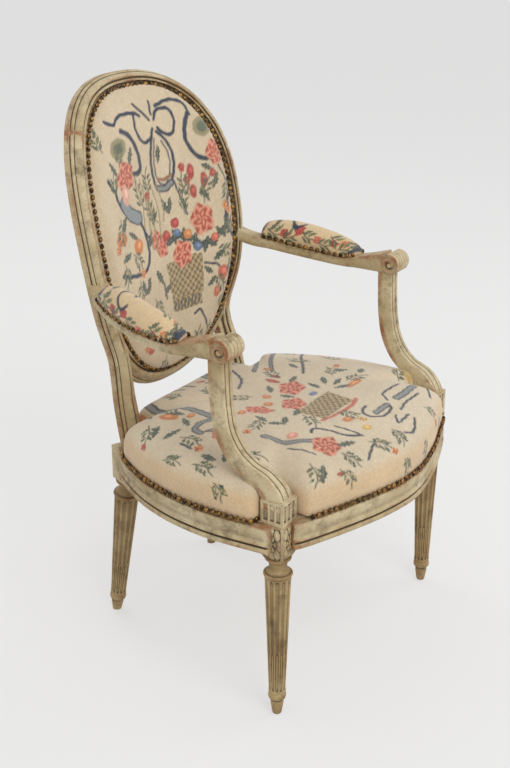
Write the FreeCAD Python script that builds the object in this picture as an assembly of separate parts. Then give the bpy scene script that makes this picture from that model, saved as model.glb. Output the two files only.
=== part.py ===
import FreeCAD, Part
import math
import os
from FreeCAD import Vector, Placement, Rotation

# Upholstered open armchair with an oval cabriolet back.
# Millimetres, +Z up, the chair faces -Y and the sitter's left is +X.
# The floor is z = 0 and the origin lies under the middle of the chair.
# The left half is modelled and mirrored where the chair is symmetric.

# Turned legs
turn_sides = 20
foot_tip_d = 15.0
foot_cone_d = 21.0
foot_cone_h = 24.0
foot_groove_d = 21.0
foot_groove_h = 4.0
foot_ring_d = 29.0
foot_ring_h = 13.0
shaft_bottom_d = 26.5
shaft_top_d = 42.0
collar_z = 258.0
collar_d = 46.0
collar_h = 5.0
neck_d = 28.0
flute_count = 12
flute_r = 3.9
flute_depth = 2.3
flute_stop_z = 116.0
flute_end_gap = 9.0

# Corner blocks of the legs
block = 45.0
block_bottom_z = 283.0
block_taper = 14.0
front_leg_x = 250.5
front_leg_y = -187.5
rear_block = 40.0
rear_turn = 25.0
rear_leg_x = 166.0
rear_leg_y = 171.0
rear_foot_x = 147.7
rear_foot_y = 224.3

# Seat rails: height, thickness and the bow of their outer faces
rail_bottom_z = 301.0
rail_h = 43.0
rail_t = 32.0
front_bow_y = -289.5
front_end_y = -228.5
side_bow_x = 293.0
side_bow_y = -105.0
side_rear_x = 213.0
side_rear_y = 148.0
back_rail_t = 26.0
tenon_t = 10.0
tenon_l = 14.0
tenon_h = 28.0
fit = 0.15

# Oval back: outline, rake, hollow and the moulded frame
oval_z = 715.0
oval_half_w = 208.5
oval_rise = 223.0
oval_drop = 307.0
oval_top_power = 2.45
oval_low_power = 2.2
back_y = 239.0
back_rake = 11.8
back_hollow = 53.5
back_sweep = 24.0
frame_d = 30.0
mould_w = 20.0
low_mould_w = 31.0
rebate_w = 12.0
rebate_depth = 5.0
rear_band_w = 12.0
rear_rebate = 4.0
crest_angle = 43.0
low_angle = -40.0
low_joint = -46.0
low_joint_x = 140.0
stile_neck_x = 161.0
stile_neck_z = 482.0
stile_seat_x = 176.0
stile_forward = 17.0
stile_w = 28.0
pin_d = 8.0
pin_l = 26.0

# Arms, volutes and their supports
arm_x = 259.0
arm_w = 36.0
arm_h = 18.0
arm_low_z = 591.5
arm_bow = 5.0
arm_back_z = 629.0
scroll_y = -101.0
scroll_z = 604.0
scroll_r = 21.0
scroll_w = 44.0
scroll_band = 6.0
scroll_sink = 3.0
scroll_turns = 1.35
eye_r = 4.5
post_w = 26.0
post_t = 26.0
post_groove = 2.0
base_w = 40.0
base_h = 40.0
base_flute_r = 3.6

# Upholstery
seat_side_h = 50.0
seat_crown = 32.0
seat_edge = 3.0
seat_corners = 44
cloth_gap = 0.3
back_clear = 0.8
pad_notch = 0.6
web_w = 50.0
web_t = 1.3
web_pitch = 78.0
hessian_t = 1.0
back_pad_h = 19.0
back_edge_h = 2.5
outback_t = 2.5
outback_gap = 1.8
outback_crown = 4.0
arm_pad_w = 46.0
arm_pad_h = 46.0

# Glue blocks
glue_leg = 62.0
glue_h = 30.0

rail_top_z = rail_bottom_z + rail_h
back_slope = math.tan(math.radians(back_rake))
half = block / 2.0
rear_half = rear_block / 2.0


def vec(x, y, z):
    return Vector(x, y, z)


def unit(v):
    return v * (1.0 / v.Length)


def smooth(points):
    curve = Part.BSplineCurve()
    curve.interpolate([Vector(*p) for p in points])
    return curve


def stations(curve, count, start=0.0, end=1.0):
    a = curve.FirstParameter
    b = curve.LastParameter
    for i in range(count):
        u = a + (b - a) * (start + (end - start) * i / (count - 1.0))
        yield i / (count - 1.0), curve.value(u), unit(curve.getD1(u)[1])


def ring(profile, origin, across, up):
    # profile: (a, b) corners, or (a, b, am, bm) with a bend between two corners at (am, bm)
    corners = []
    for p in profile:
        corners.append(origin + across * p[0] + up * p[1])
        if len(p) == 4:
            corners.append(origin + across * p[2] + up * p[3])
    return corners


def face(corners):
    return Part.Face(Part.makePolygon(corners + corners[:1]))


# A closed body through rings of corners, with two flat facets between each pair.
def loft(rings):
    faces = [face(rings[0]), face(rings[-1])]
    for low, high in zip(rings, rings[1:]):
        for i in range(len(low)):
            j = (i + 1) % len(low)
            faces.append(face([low[i], low[j], high[j]]))
            faces.append(face([low[i], high[j], high[i]]))
    body = Part.Solid(Part.makeShell(faces))
    if body.Volume < 0:
        body.reverse()
    return body.removeSplitter()


# A turned body: rings with flat sides round the vertical through (x, y).
def turned(outline, x, y):
    rings = []
    for r, z in outline:
        circle = []
        for i in range(turn_sides):
            angle = 2.0 * math.pi * (i + 0.5) / turn_sides
            circle.append(vec(x + r * math.cos(angle), y + r * math.sin(angle), z))
        rings.append(circle)
    return loft(rings)


def box(x0, x1, y0, y1, z0, z1):
    return Part.makeBox(x1 - x0, y1 - y0, z1 - z0, vec(x0, y0, z0))


def mirrored(shape):
    return shape.mirror(vec(0, 0, 0), vec(1, 0, 0))


def main_solid(shape):
    return max(shape.Solids, key=lambda s: s.Volume)


# A round rod with flat sides, from start along run.
def rod(r, start, run, length, sides=12):
    across = unit(run.cross(vec(0.2, 0.1, 1.0) if abs(run.z) < 0.9 else vec(1, 0, 0)))
    up = unit(across.cross(run))
    rings = []
    for end in (start, start + run * length):
        circle = []
        for i in range(sides):
            angle = 2.0 * math.pi * i / sides
            circle.append(end + across * (r * math.cos(angle)) + up * (r * math.sin(angle)))
        rings.append(circle)
    return loft(rings)


# A turned leg along +Z from the floor up to its block: foot, ring, tapered
# fluted shaft, dished collar and neck. The length runs to the block's bottom.
def turned_leg(length):
    shaft_z0 = foot_cone_h + foot_groove_h + foot_ring_h
    lift = length - block_bottom_z
    top = collar_z + lift
    r_bottom = shaft_bottom_d / 2
    r_top = shaft_top_d / 2
    ring_r = foot_ring_d / 2
    ring_z = foot_cone_h + foot_groove_h
    collar_r = collar_d / 2
    neck_r = neck_d / 2
    foot = [
        (foot_tip_d / 2 - 1.0, 0.0),
        (foot_tip_d / 2, 1.5),
        (foot_cone_d / 2, foot_cone_h),
        (foot_groove_d / 2 - 1.0, foot_cone_h + 1.0),
        (foot_groove_d / 2 - 1.0, ring_z),
        (ring_r - 1.5, ring_z + 0.2),
        (ring_r, ring_z + foot_ring_h * 0.35),
        (r_bottom + 1.0, ring_z + foot_ring_h * 0.8),
        (r_bottom + 0.5, shaft_z0),
    ]
    head = [
        (r_top + 0.5, top - collar_h),
        (collar_r - 0.8, top - collar_h + 0.8),
        (collar_r, top - collar_h / 2),
        (collar_r - 1.2, top),
        (neck_r + 1.5, top + 0.3),
        (neck_r, top + 4.0),
        (neck_r, length - 6.0),
        (block / 2 - 3.0, length - 2.5),
        (block / 2 - 3.0, length + 1.0),
    ]

    half_flute = math.sqrt(flute_r ** 2 - (flute_r - flute_depth) ** 2) / r_top

    def section(z, depth):
        t = (z - shaft_z0) / (top - collar_h - shaft_z0)
        r = r_bottom + (r_top - r_bottom) * t
        points = []
        for i in range(flute_count):
            for side, sink in ((-1.0, 0.0), (-0.45, 0.9), (0.45, 0.9), (1.0, 0.0)):
                angle = 2.0 * math.pi * i / flute_count + side * half_flute
                reach = r - depth * sink * r / r_top
                points.append(vec(reach * math.cos(angle), reach * math.sin(angle), z))
        return points

    flute_top = top - collar_h - flute_end_gap
    shaft = loft([
        section(shaft_z0 - 1.0, 0.0),
        section(flute_stop_z - 1.0, 0.0),
        section(flute_stop_z + 3.0, flute_depth),
        section(flute_top - 5.0, flute_depth),
        section(flute_top, 0.0),
        section(top - collar_h + 1.0, 0.0),
    ])
    return main_solid(shaft.fuse([turned(foot, 0, 0), turned(head, 0, 0)]).removeSplitter())


def post_box(x, y, reach, low_z, high_z, turn):
    post = box(x - reach, x + reach, y - reach, y + reach, low_z, high_z)
    post.rotate(vec(x, y, 0), vec(0, 0, 1), -turn)
    return post


# The square block over the neck, its corners rounded off towards the leg.
def leg_block(x, y, reach, top_z, turn):
    body = post_box(x, y, reach, block_bottom_z, top_z, turn)
    corner = reach * math.sqrt(2.0) + 1.0
    shoulder = [
        (reach - 2.0, block_bottom_z),
        (reach + 5.5, block_bottom_z + block_taper * 0.35),
        (corner, block_bottom_z + block_taper),
        (corner + 1.0, top_z + 1.0),
    ]
    return body.common(turned(shoulder, x, y))


# Plan of the seat: outer faces of the front and left side rails.
front_curve = smooth([
    (-front_leg_x, front_end_y + 12.0, 0),
    (-(front_leg_x - half), front_end_y, 0),
    (-160.0, front_bow_y + (front_end_y - front_bow_y) * 0.58, 0),
    (-80.0, front_bow_y + (front_end_y - front_bow_y) * 0.18, 0),
    (0, front_bow_y, 0),
    (80.0, front_bow_y + (front_end_y - front_bow_y) * 0.18, 0),
    (160.0, front_bow_y + (front_end_y - front_bow_y) * 0.58, 0),
    (front_leg_x - half, front_end_y, 0),
    (front_leg_x, front_end_y + 12.0, 0),
])
side_points = [
    (side_bow_x - 6.0, front_leg_y, 0),
    (side_bow_x, side_bow_y, 0),
    (side_bow_x - 2.5, -50.0, 0),
    (side_bow_x - 13.5, 8.0, 0),
    (side_bow_x - 36.5, 74.0, 0),
    (side_rear_x, side_rear_y, 0),
    (rear_leg_x + 8.0, rear_leg_y + 14.0, 0),
]
side_curve = smooth(side_points)

# Moulded section of the seat rails: flat band, groove and bottom bead.
z0 = rail_bottom_z
z1 = rail_top_z
rail_profile = [
    (-rail_t, z0),
    (-3.0, z0, 0.4, z0 + 4.0),
    (-2.0, z0 + 8.0),
    (-4.5, z0 + 9.0),
    (-4.5, z0 + 11.0),
    (-1.5, z0 + 13.0, -3.2, z0 + 25.0),
    (-0.5, z1 - 7.0),
    (0.0, z1 - 2.0),
    (-1.5, z1),
    (-rail_t, z1),
]


def rail(curve, count):
    rings = []
    for t, p, d in stations(curve, count):
        outward = unit(d.cross(vec(0, 0, 1)))
        rings.append(ring(rail_profile, p, outward, vec(0, 0, 1)))
    return loft(rings)


rail_mid_z = (z0 + z1) / 2
tenon_z = (rail_mid_z - tenon_h / 2, rail_mid_z + tenon_h / 2)
front_end_x = front_leg_x - half
side_front_y = front_leg_y + half
back_end_x = rear_leg_x - rear_half - 3.0

front_rail = rail(front_curve, 15).common(box(-front_end_x, front_end_x, -400, 0, 0, 500))
front_tenon_y = front_leg_y - half + 5.0
front_tenon = box(front_end_x - 4, front_end_x + tenon_l, front_tenon_y, front_tenon_y + tenon_t, *tenon_z)
front_rail = front_rail.fuse([front_tenon, mirrored(front_tenon)]).removeSplitter()

rear_post = post_box(rear_leg_x, rear_leg_y, rear_half, 0, 600, rear_turn)
side_rail = rail(side_curve, 13).common(box(0, 400, side_front_y, 400, 0, 500))
side_rail = main_solid(side_rail.cut(rear_post))
side_tenon_x = front_leg_x + half - 5.0 - tenon_t
side_tenon = box(side_tenon_x, side_tenon_x + tenon_t, side_front_y - tenon_l, side_front_y + 4, *tenon_z)
side_rail = side_rail.fuse(side_tenon)
rear_tenon_x = rear_leg_x + 6.0
rear_tenon = box(rear_tenon_x, rear_tenon_x + tenon_t, rear_leg_y - rear_half - 4, rear_leg_y - rear_half + tenon_l, *tenon_z)
side_rail = side_rail.fuse(rear_tenon).removeSplitter()

back_rail_y = rear_leg_y + rear_half - back_rail_t - 4.0
back_rail = box(-rear_leg_x, rear_leg_x, back_rail_y, back_rail_y + back_rail_t, z0, z1)
back_rail = main_solid(back_rail.cut([rear_post, mirrored(rear_post)]))
back_tenon_y = back_rail_y + (back_rail_t - tenon_t) / 2
back_tenon = box(back_end_x - 6, back_end_x + tenon_l, back_tenon_y, back_tenon_y + tenon_t, *tenon_z)
back_rail = back_rail.fuse([back_tenon, mirrored(back_tenon)]).removeSplitter()


def grown(solid_box, by):
    b = solid_box.BoundBox
    return box(b.XMin - by, b.XMax + by, b.YMin - by, b.YMax + by, b.ZMin - by, b.ZMax + by)


# Front leg: upright, with mortices for the two rails.
leg = turned_leg(block_bottom_z)
leg.translate(vec(front_leg_x, front_leg_y, 0))
front_leg = leg.fuse(leg_block(front_leg_x, front_leg_y, half, rail_top_z, 0))
front_leg = front_leg.cut([grown(front_tenon, fit), grown(side_tenon, fit)])
front_leg = main_solid(front_leg.removeSplitter())


# The hollow of the back: where its front face lies, and which way it faces.
def low_share(z):
    start = stile_neck_z + 38.0
    return max(0.0, (start - z) / (start - rail_top_z))


def face_y(x, z):
    fall = max(0.0, oval_z - z) / oval_drop
    hollow = back_hollow * (x / oval_half_w) ** 2
    low = stile_forward * low_share(z) ** 1.5
    return back_y + back_slope * (z - oval_z) + back_sweep * fall * fall - hollow - low


def face_front(x, z):
    turn = 1.0
    if z < stile_neck_z:
        turn = max(0.3, 1.0 - 0.7 * (stile_neck_z - z) / (stile_neck_z - rail_top_z))
    fall = max(0.0, oval_z - z) / oval_drop
    dx = -2.0 * back_hollow * x / oval_half_w ** 2 * turn
    dz = back_slope - 2.0 * back_sweep * fall / oval_drop
    dz += 1.5 * stile_forward * low_share(z) ** 0.5 / (stile_neck_z + 38.0 - rail_top_z)
    return unit(vec(dx, -1.0, dz))


def oval_point(angle, inset=0.0):
    c = math.cos(math.radians(angle))
    s = math.sin(math.radians(angle))
    power = oval_top_power if s >= 0 else oval_low_power
    high = (oval_rise if s >= 0 else oval_drop) - inset
    r = ((abs(c) / (oval_half_w - inset)) ** power + (abs(s) / high) ** power) ** (-1.0 / power)
    return r * c, oval_z + r * s


# Moulding of the oval frame. a runs outward, b forward. From the outer edge:
# plain band, groove, fillet, broad band, cove and the bead beside the nails.
def frame_profile(width):
    d = frame_d
    m = width
    back = -d + rear_rebate
    return [
        (-m - rebate_w, back),
        (-rear_band_w, back),
        (-rear_band_w, -d),
        (-3.0, -d, -0.9, -d + 0.9),
        (0.0, -d + 3.0),
        (0.0, -0.70 * d),
        (-2.6, -0.64 * d),
        (-1.4, -0.58 * d),
        (-3.0, -0.47 * d),
        (-5.2, -0.44 * d),
        (-4.8, -0.39 * d, -0.36 * m, -0.17 * d),
        (-0.62 * m, -0.06 * d, -0.72 * m, -0.15 * d),
        (-0.82 * m, -0.06 * d, -0.91 * m, 0.02 * d),
        (-m, -0.05 * d),
        (-m, -rebate_depth),
        (-m - rebate_w, -rebate_depth),
    ]


def frame_ring(x, z, tx, tz, width):
    front = face_front(x, z)
    e = 0.01
    rise = (face_y(x + tx * e, z + tz * e) - face_y(x - tx * e, z - tz * e)) / (2 * e)
    along = unit(vec(tx, rise, tz))
    outward = unit(front.cross(along))
    front = unit(along.cross(outward))
    return ring(frame_profile(width), vec(x, face_y(x, z), z), outward, front)


def oval_ring(angle):
    x, z = oval_point(angle)
    xa, za = oval_point(angle - 0.2)
    xb, zb = oval_point(angle + 0.2)
    length = math.hypot(xa - xb, za - zb)
    low = max(0.0, -math.sin(math.radians(angle))) ** 4
    width = mould_w + (low_mould_w - mould_w) * low
    return frame_ring(x, z, (xa - xb) / length, (za - zb) / length, width)


def spread(start, end, count):
    return [start + (end - start) * i / (count - 1.0) for i in range(count)]


crest = loft([oval_ring(a) for a in spread(180.0 - crest_angle, crest_angle, 13)])
low_back = loft([oval_ring(a) for a in spread(low_joint, -180.0 - low_joint, 13)])
low_back = low_back.common(box(-low_joint_x, low_joint_x, 0, 400, 300, oval_z))

glue_z = rail_bottom_z + 6.0

# Stile: down the side of the oval, in to the neck and out to the seat joint.
# It runs into the rear leg's block, which is one piece with it.
stile_points = [(x, 0, z) for x, z in [oval_point(a) for a in spread(crest_angle, low_angle, 8)]]
flare = stile_seat_x - stile_neck_x
stile_points += [
    (stile_neck_x + 2.5, 0, stile_neck_z + 24.0),
    (stile_neck_x, 0, stile_neck_z),
    (stile_neck_x + flare * 0.30, 0, stile_neck_z - 26.0),
    (stile_neck_x + flare * 0.72, 0, stile_neck_z - 54.0),
    (stile_seat_x, 0, stile_neck_z - 95.0),
    (stile_seat_x + 1.0, 0, rail_top_z),
    (stile_seat_x + 1.0, 0, rail_top_z - 30.0),
]
stile_curve = smooth(stile_points)
stile_rings = []
for t, p, d in stations(stile_curve, 19):
    step = math.hypot(d.x, d.z)
    low = min(1.0, max(0.0, (oval_z - 120.0 - p.z) / 150.0))
    width = mould_w + (stile_w - mould_w) * low
    stile_rings.append(frame_ring(p.x, p.z, d.x / step, d.z / step, width))
stile = loft(stile_rings)
stile = stile.cut(box(0, low_joint_x, 0, 400, 200, oval_z - 130.0))
# Its foot ends in the leg's block, above the glue blocks of the seat frame.
stile = main_solid(stile.cut(box(0, 400, 0, 400, 200, glue_z + glue_h + 1.0)))

# Rear leg: the same turning, raked back and inward under the block.
rake_top = vec(rear_leg_x, rear_leg_y, block_bottom_z)
rake = rake_top - vec(rear_foot_x, rear_foot_y, 0)
rear_turned = turned_leg(rake.Length + 8.0)
tilt = Rotation(vec(0, 0, 1), rake)
start = rake_top - unit(rake) * (rake.Length + 3.0)
rear_turned.Placement = Placement(start, tilt)
rear_turned = main_solid(rear_turned.cut(box(-50, 400, 0, 500, -60, 0)))
rear_head = leg_block(rear_leg_x, rear_leg_y, rear_half, rail_top_z, rear_turn)
rear_leg = rear_turned.fuse(rear_head).fuse(stile)
rear_leg = main_solid(rear_leg.cut([grown(rear_tenon, fit), grown(back_tenon, fit)]))

back_rail = main_solid(back_rail.cut([stile, mirrored(stile)]))
side_rail = main_solid(side_rail.cut(stile))

# Pins across the crest joints.
pin_x, pin_z = oval_point(crest_angle)
pa = oval_point(crest_angle + 1.0)
pb = oval_point(crest_angle - 1.0)
front = face_front(pin_x, pin_z)
run = unit(vec(pa[0] - pb[0], face_y(*pa) - face_y(*pb), pa[1] - pb[1]))
inward = unit(run.cross(front))
if inward.x > 0:
    inward = inward * -1.0
centre = vec(pin_x, face_y(pin_x, pin_z), pin_z) + inward * (mould_w * 0.75) - front * (frame_d * 0.55)
pin = rod(pin_d / 2, centre - run * (pin_l / 2), run, pin_l)
pin_hole = rod(pin_d / 2 + fit, centre - run * (pin_l / 2 + 0.5), run, pin_l + 1.0)
crest = main_solid(crest.cut([pin_hole, mirrored(pin_hole)]))
rear_leg = main_solid(rear_leg.cut(pin_hole))


# Arm: from the stile down and out to the volute. Flat on top for its pad.
arm_points = [
    (196.0, 193.0, arm_back_z),
    (arm_x - 45.0, 166.0, arm_back_z - 13.0),
    (arm_x - 30.0, 139.0, arm_low_z + 18.5),
    (arm_x - 17.0, 108.0, arm_low_z + 12.0),
    (arm_x - 2.0, 55.0, arm_low_z + 4.0),
    (arm_x + arm_bow, 0.0, arm_low_z),
    (arm_x + arm_bow - 1.0, -30.0, arm_low_z + 3.5),
    (arm_x + 1.0, scroll_y + 41.0, scroll_z - 4.5),
    (arm_x, scroll_y + 14.0, scroll_z),
]
arm_curve = smooth(arm_points)


def arm_profile(w, h):
    a = w / 2
    b = h / 2
    return [
        (-a, b - 1.0),
        (-a, -b + h * 0.45, -a * 0.86, -b + h * 0.12),
        (-a * 0.6, -b),
        (a * 0.6, -b, a * 0.86, -b + h * 0.12),
        (a, -b + h * 0.45),
        (a, b - 1.0),
        (a - 1.0, b),
        (-a + 1.0, b),
    ]


def arm_frame(d):
    across = unit(d.cross(vec(0, 0, 1)))
    return across, unit(across.cross(d))


arm_rings = []
for t, p, d in stations(arm_curve, 17):
    across, up = arm_frame(d)
    swell = max(0.0, (t - 0.72) / 0.28)
    w = arm_w - 4.0 * max(0.0, 1.0 - t / 0.2)
    h = arm_h + 4.0 * max(0.0, 1.0 - t / 0.2) + (2 * scroll_r - 6.0 - arm_h) * swell ** 1.4
    arm_rings.append(ring(arm_profile(w, h), p, across, up))
arm_body = loft(arm_rings)


# Volute: a rolled band that winds in to the eye, proud of a sunk web.
def spiral_point(turn, inset):
    r = scroll_r - inset - (scroll_r - eye_r - 1.0) * turn / scroll_turns * 0.92
    a = math.radians(100.0) - 2.0 * math.pi * turn
    return vec(0, scroll_y - r * math.cos(a), scroll_z + r * math.sin(a))


spiral_steps = 22
outer = [spiral_point(scroll_turns * i / spiral_steps, 0.0) for i in range(spiral_steps + 1)]
inner = [spiral_point(scroll_turns * i / spiral_steps, scroll_band * (1 - 0.45 * i / spiral_steps))
         for i in range(spiral_steps + 1)]
band = face(outer + inner[::-1]).extrude(vec(scroll_w, 0, 0))
band.translate(vec(arm_x - scroll_w / 2, 0, 0))
web_w2 = scroll_w - 2 * scroll_sink
web_disc = rod(scroll_r - 3.5, vec(arm_x - web_w2 / 2, scroll_y, scroll_z), vec(1, 0, 0), web_w2, 24)
eye = rod(eye_r, vec(arm_x - scroll_w / 2, scroll_y, scroll_z), vec(1, 0, 0), scroll_w)
arm = arm_body.fuse([web_disc, band, eye])
arm = main_solid(arm.cut(stile).removeSplitter())

# Arm support: fluted base on the front leg, then the post that sweeps back
# and up under the volute, with two grooves down its front.
base_top_z = rail_top_z + base_h
hb = base_w / 2
base = box(front_leg_x - hb, front_leg_x + hb, front_leg_y - hb, front_leg_y + hb, rail_top_z, base_top_z)
flutes = []
for k in (-1, 0, 1):
    for x, y in ((front_leg_x + k * base_w / 4, front_leg_y - hb), (front_leg_x + hb, front_leg_y + k * base_w / 4)):
        low_end = vec(x, y, rail_top_z + 5.0)
        flutes.append(rod(base_flute_r, low_end, vec(0, 0, 1), base_h - 10.0))
base = base.cut(flutes)
post_points = [
    (front_leg_x + 0.5, front_leg_y + 2.0, base_top_z - 16.0),
    (front_leg_x + 1.0, front_leg_y + 2.0, base_top_z + 2.0),
    (front_leg_x + 3.0, front_leg_y + 19.0, base_top_z + 22.0),
    (front_leg_x + 5.0, front_leg_y + 46.0, base_top_z + 36.0),
    (front_leg_x + 7.0, front_leg_y + 71.0, base_top_z + 58.0),
    (arm_x, front_leg_y + 88.0, base_top_z + 90.0),
    (arm_x, scroll_y + 8.5, base_top_z + 128.0),
    (arm_x, scroll_y + 11.0, base_top_z + 166.0),
    (arm_x, scroll_y + 12.0, scroll_z - 8.0),
]
post_curve = smooth(post_points)


def post_profile(w, t):
    a = w / 2
    b = t / 2
    g = post_groove
    return [
        (-a, -b + 3.5),
        (-a + 3.5, -b),
        (a - 3.5, -b),
        (a, -b + 3.5),
        (a, b - 3.0),
        (a - 3.0, b),
        (a * 0.55, b),
        (a * 0.40, b - g),
        (a * 0.25, b),
        (-a * 0.25, b),
        (-a * 0.40, b - g),
        (-a * 0.55, b),
        (-a + 3.0, b),
        (-a, b - 3.0),
    ]


post_rings = []
for t, p, d in stations(post_curve, 17):
    forward = unit(d.cross(vec(1, 0, 0)))
    if forward.y > 0:
        forward = forward * -1.0
    across = unit(forward.cross(d))
    spread_low = max(0.0, 1.0 - t / 0.28)
    w = post_w + (base_w - 4.0 - post_w) * spread_low
    d_t = post_t + (base_w - 6.0 - post_t) * spread_low
    post_rings.append(ring(post_profile(w, d_t), p, across, forward))
post = loft(post_rings)
support = base.fuse(post)
support = support.cut(box(0, 400, -400, 0, 0, rail_top_z))
support = main_solid(support.cut(arm).removeSplitter())
support_tenon = box(front_leg_x - 8, front_leg_x + 8, front_leg_y - 8, front_leg_y + 8, rail_top_z - 12, rail_top_z + 1)
support = support.fuse(support_tenon).removeSplitter()
front_leg = main_solid(front_leg.cut(grown(support_tenon, fit)))


# Seat plan as one closed outline, moved inward by an inset.
def seat_outline(inset, z):
    centre_y = -50.0
    right = [
        (0.0, front_bow_y),
        (80.0, front_bow_y + (front_end_y - front_bow_y) * 0.18),
        (160.0, front_bow_y + (front_end_y - front_bow_y) * 0.58),
        (front_leg_x - half, front_end_y),
        (front_leg_x + 16.0, front_leg_y - 26.0),
        (side_bow_x - 6.0, front_leg_y),
        (side_bow_x, side_bow_y),
        (side_bow_x - 2.5, -50.0),
        (side_bow_x - 13.5, 8.0),
        (side_bow_x - 36.5, 74.0),
        (side_rear_x, side_rear_y),
        (rear_leg_x + 6.0, rear_leg_y + 6.0),
        (rear_leg_x - 34.0, rear_leg_y + 15.0),
        (60.0, rear_leg_y + 16.5),
        (0.0, rear_leg_y + 16.5),
    ]
    ring = right + [(-x, y) for x, y in right[-2:0:-1]]
    points = []
    for x, y in ring:
        r = math.hypot(x, y - centre_y)
        k = (r - inset) / r
        points.append(vec(x * k, centre_y + (y - centre_y) * k, z))
    curve = Part.BSplineCurve()
    curve.interpolate(Points=points, PeriodicFlag=True)
    return curve.discretize(Number=seat_corners + 1)[:-1]


def seat_prism(inset, low, high):
    return face(seat_outline(inset, low)).extrude(vec(0, 0, high - low))


# Webbing, hessian and the seat pad, notched round the stiles and supports.
web_low = rail_top_z
web_field = seat_prism(16.0, web_low, web_low + 2 * web_t)
post_notches = []
for x, y, reach, turn in ((front_leg_x, front_leg_y, hb, 0), (rear_leg_x, rear_leg_y, rear_half, rear_turn)):
    notch = post_box(x, y, reach + pad_notch, 300, 600, turn)
    post_notches += [notch, mirrored(notch)]
straps = []
for i in range(-3, 4):
    x = i * web_pitch
    if abs(x) < 240:
        strap = box(x - web_w / 2, x + web_w / 2, -400, 400, web_low, web_low + web_t)
        straps.append(strap)
for i in range(-2, 3):
    y = -50.0 + i * web_pitch
    straps.append(box(-400, 400, y - web_w / 2, y + web_w / 2, web_low + web_t, web_low + 2 * web_t))
both_stiles = [stile, mirrored(stile)]
straps = [main_solid(web_field.common(s).cut(post_notches + both_stiles)) for s in straps]
hessian_z = web_low + 2 * web_t
seat_hessian = main_solid(seat_prism(18.0, hessian_z, hessian_z + hessian_t).cut(post_notches + both_stiles))

low_z = rail_top_z + cloth_gap
top_z = rail_top_z + seat_side_h
seat_rings = [
    (seat_edge, low_z),
    (seat_edge - 1.0, low_z + seat_side_h * 0.25),
    (seat_edge - 0.5, low_z + seat_side_h * 0.58),
    (seat_edge + 3.0, low_z + seat_side_h * 0.85),
    (seat_edge + 12.0, top_z + seat_crown * 0.10),
    (seat_edge + 32.0, top_z + seat_crown * 0.42),
    (seat_edge + 66.0, top_z + seat_crown * 0.72),
    (seat_edge + 110.0, top_z + seat_crown * 0.92),
    (seat_edge + 160.0, top_z + seat_crown * 0.99),
    (seat_edge + 195.0, top_z + seat_crown),
]
seat_pad = loft([seat_outline(inset, z) for inset, z in seat_rings])
seat_pad = seat_pad.cut(post_notches + [seat_prism(14.0, rail_top_z - 1.0, hessian_z + hessian_t + cloth_gap)])
seat_pad = seat_pad.cut([stile, mirrored(stile), post, mirrored(post)])
seat_pad = main_solid(seat_pad)


# Upholstery of the back, built from level slices across the hollow.
low_reach = oval_drop - (low_mould_w - mould_w)


def back_slice(z, inset, front_at, rear_at, slide):
    side = oval_rise if z >= oval_z else low_reach
    power = oval_top_power if z >= oval_z else oval_low_power
    rest = 1.0 - (abs(z - oval_z) / (side - inset)) ** power
    x = (oval_half_w - inset) * max(0.0, rest) ** (1.0 / power)
    front_pts = []
    rear_pts = []
    for c in spread(-x, x, 13):
        facing = face_front(c, z)
        for points, depth in ((front_pts, front_at(c, z)), (rear_pts, rear_at(c, z))):
            points.append(vec(c + facing.x * depth, face_y(c, z) + facing.y * depth, z + slide))
    return front_pts + rear_pts[::-1]


def back_panel(inset, front_at, rear_at, slide=0.0):
    slices = []
    for s in (-0.996, -0.965, -0.88, -0.72, -0.5, -0.25, 0.0, 0.28, 0.52, 0.73, 0.88, 0.965, 0.996):
        high = oval_rise if s >= 0 else low_reach
        slices.append(back_slice(oval_z + s * (high - inset), inset, front_at, rear_at, slide))
    return loft(slices)


def dome(x, z, inset):
    side = oval_rise if z >= oval_z else low_reach
    power = oval_top_power if z >= oval_z else oval_low_power
    r = (abs(x) / (oval_half_w - inset)) ** power + (abs(z - oval_z) / (side - inset)) ** power
    return max(0.0, 1.0 - min(1.0, r) ** 2.2) ** 0.6


pad_inset = mould_w + 3.5
hessian_back = -rebate_depth + back_clear
pad_rear = hessian_back + hessian_t + back_clear
back_hessian = main_solid(back_panel(
    pad_inset,
    lambda x, z: hessian_back + hessian_t,
    lambda x, z: hessian_back,
))
back_pad = main_solid(back_panel(
    pad_inset,
    lambda x, z: pad_rear + back_edge_h + back_pad_h * dome(x, z, pad_inset),
    lambda x, z: pad_rear,
))
outback_inset = rear_band_w + 2.0
outback_front = -frame_d + rear_rebate - outback_gap
outside_cover = main_solid(back_panel(
    outback_inset,
    lambda x, z: outback_front,
    lambda x, z: outback_front - outback_t - outback_crown * dome(x, z, outback_inset),
    outback_front * math.sin(math.radians(back_rake)),
))


# Arm pad: a rounded pad along the flat top of the arm, fullest behind its middle.
def pad_profile(w, h):
    a = w / 2
    return [
        (-a * 0.92, 0.0),
        (a * 0.92, 0.0, a * 1.02, h * 0.34),
        (a * 0.84, h * 0.72, 0.0, h),
        (-a * 0.84, h * 0.72, -a * 1.02, h * 0.34),
    ]


arm_pad_rings = []
pad_start = 0.155
pad_end = 0.80
for i in range(13):
    s = i / 12.0
    t = 0.5 - 0.5 * math.cos(math.pi * s)
    u = pad_start + (pad_end - pad_start) * t
    p, d = [(p, d) for _, p, d in stations(arm_curve, 2, u, 1.0)][0]
    across, up = arm_frame(d)
    round_end = 0.16 + 0.84 * math.sin(math.pi * s) ** 0.75
    h = arm_pad_h * round_end * (1.06 - 0.32 * t)
    w = arm_pad_w * (0.55 + 0.45 * math.sin(math.pi * s) ** 0.5)
    arm_pad_rings.append(ring(pad_profile(w, h), p + up * (arm_h / 2 + cloth_gap), across, up))
arm_pad = loft(arm_pad_rings)
arm_pad = main_solid(arm_pad.cut([arm_body, stile]))

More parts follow.
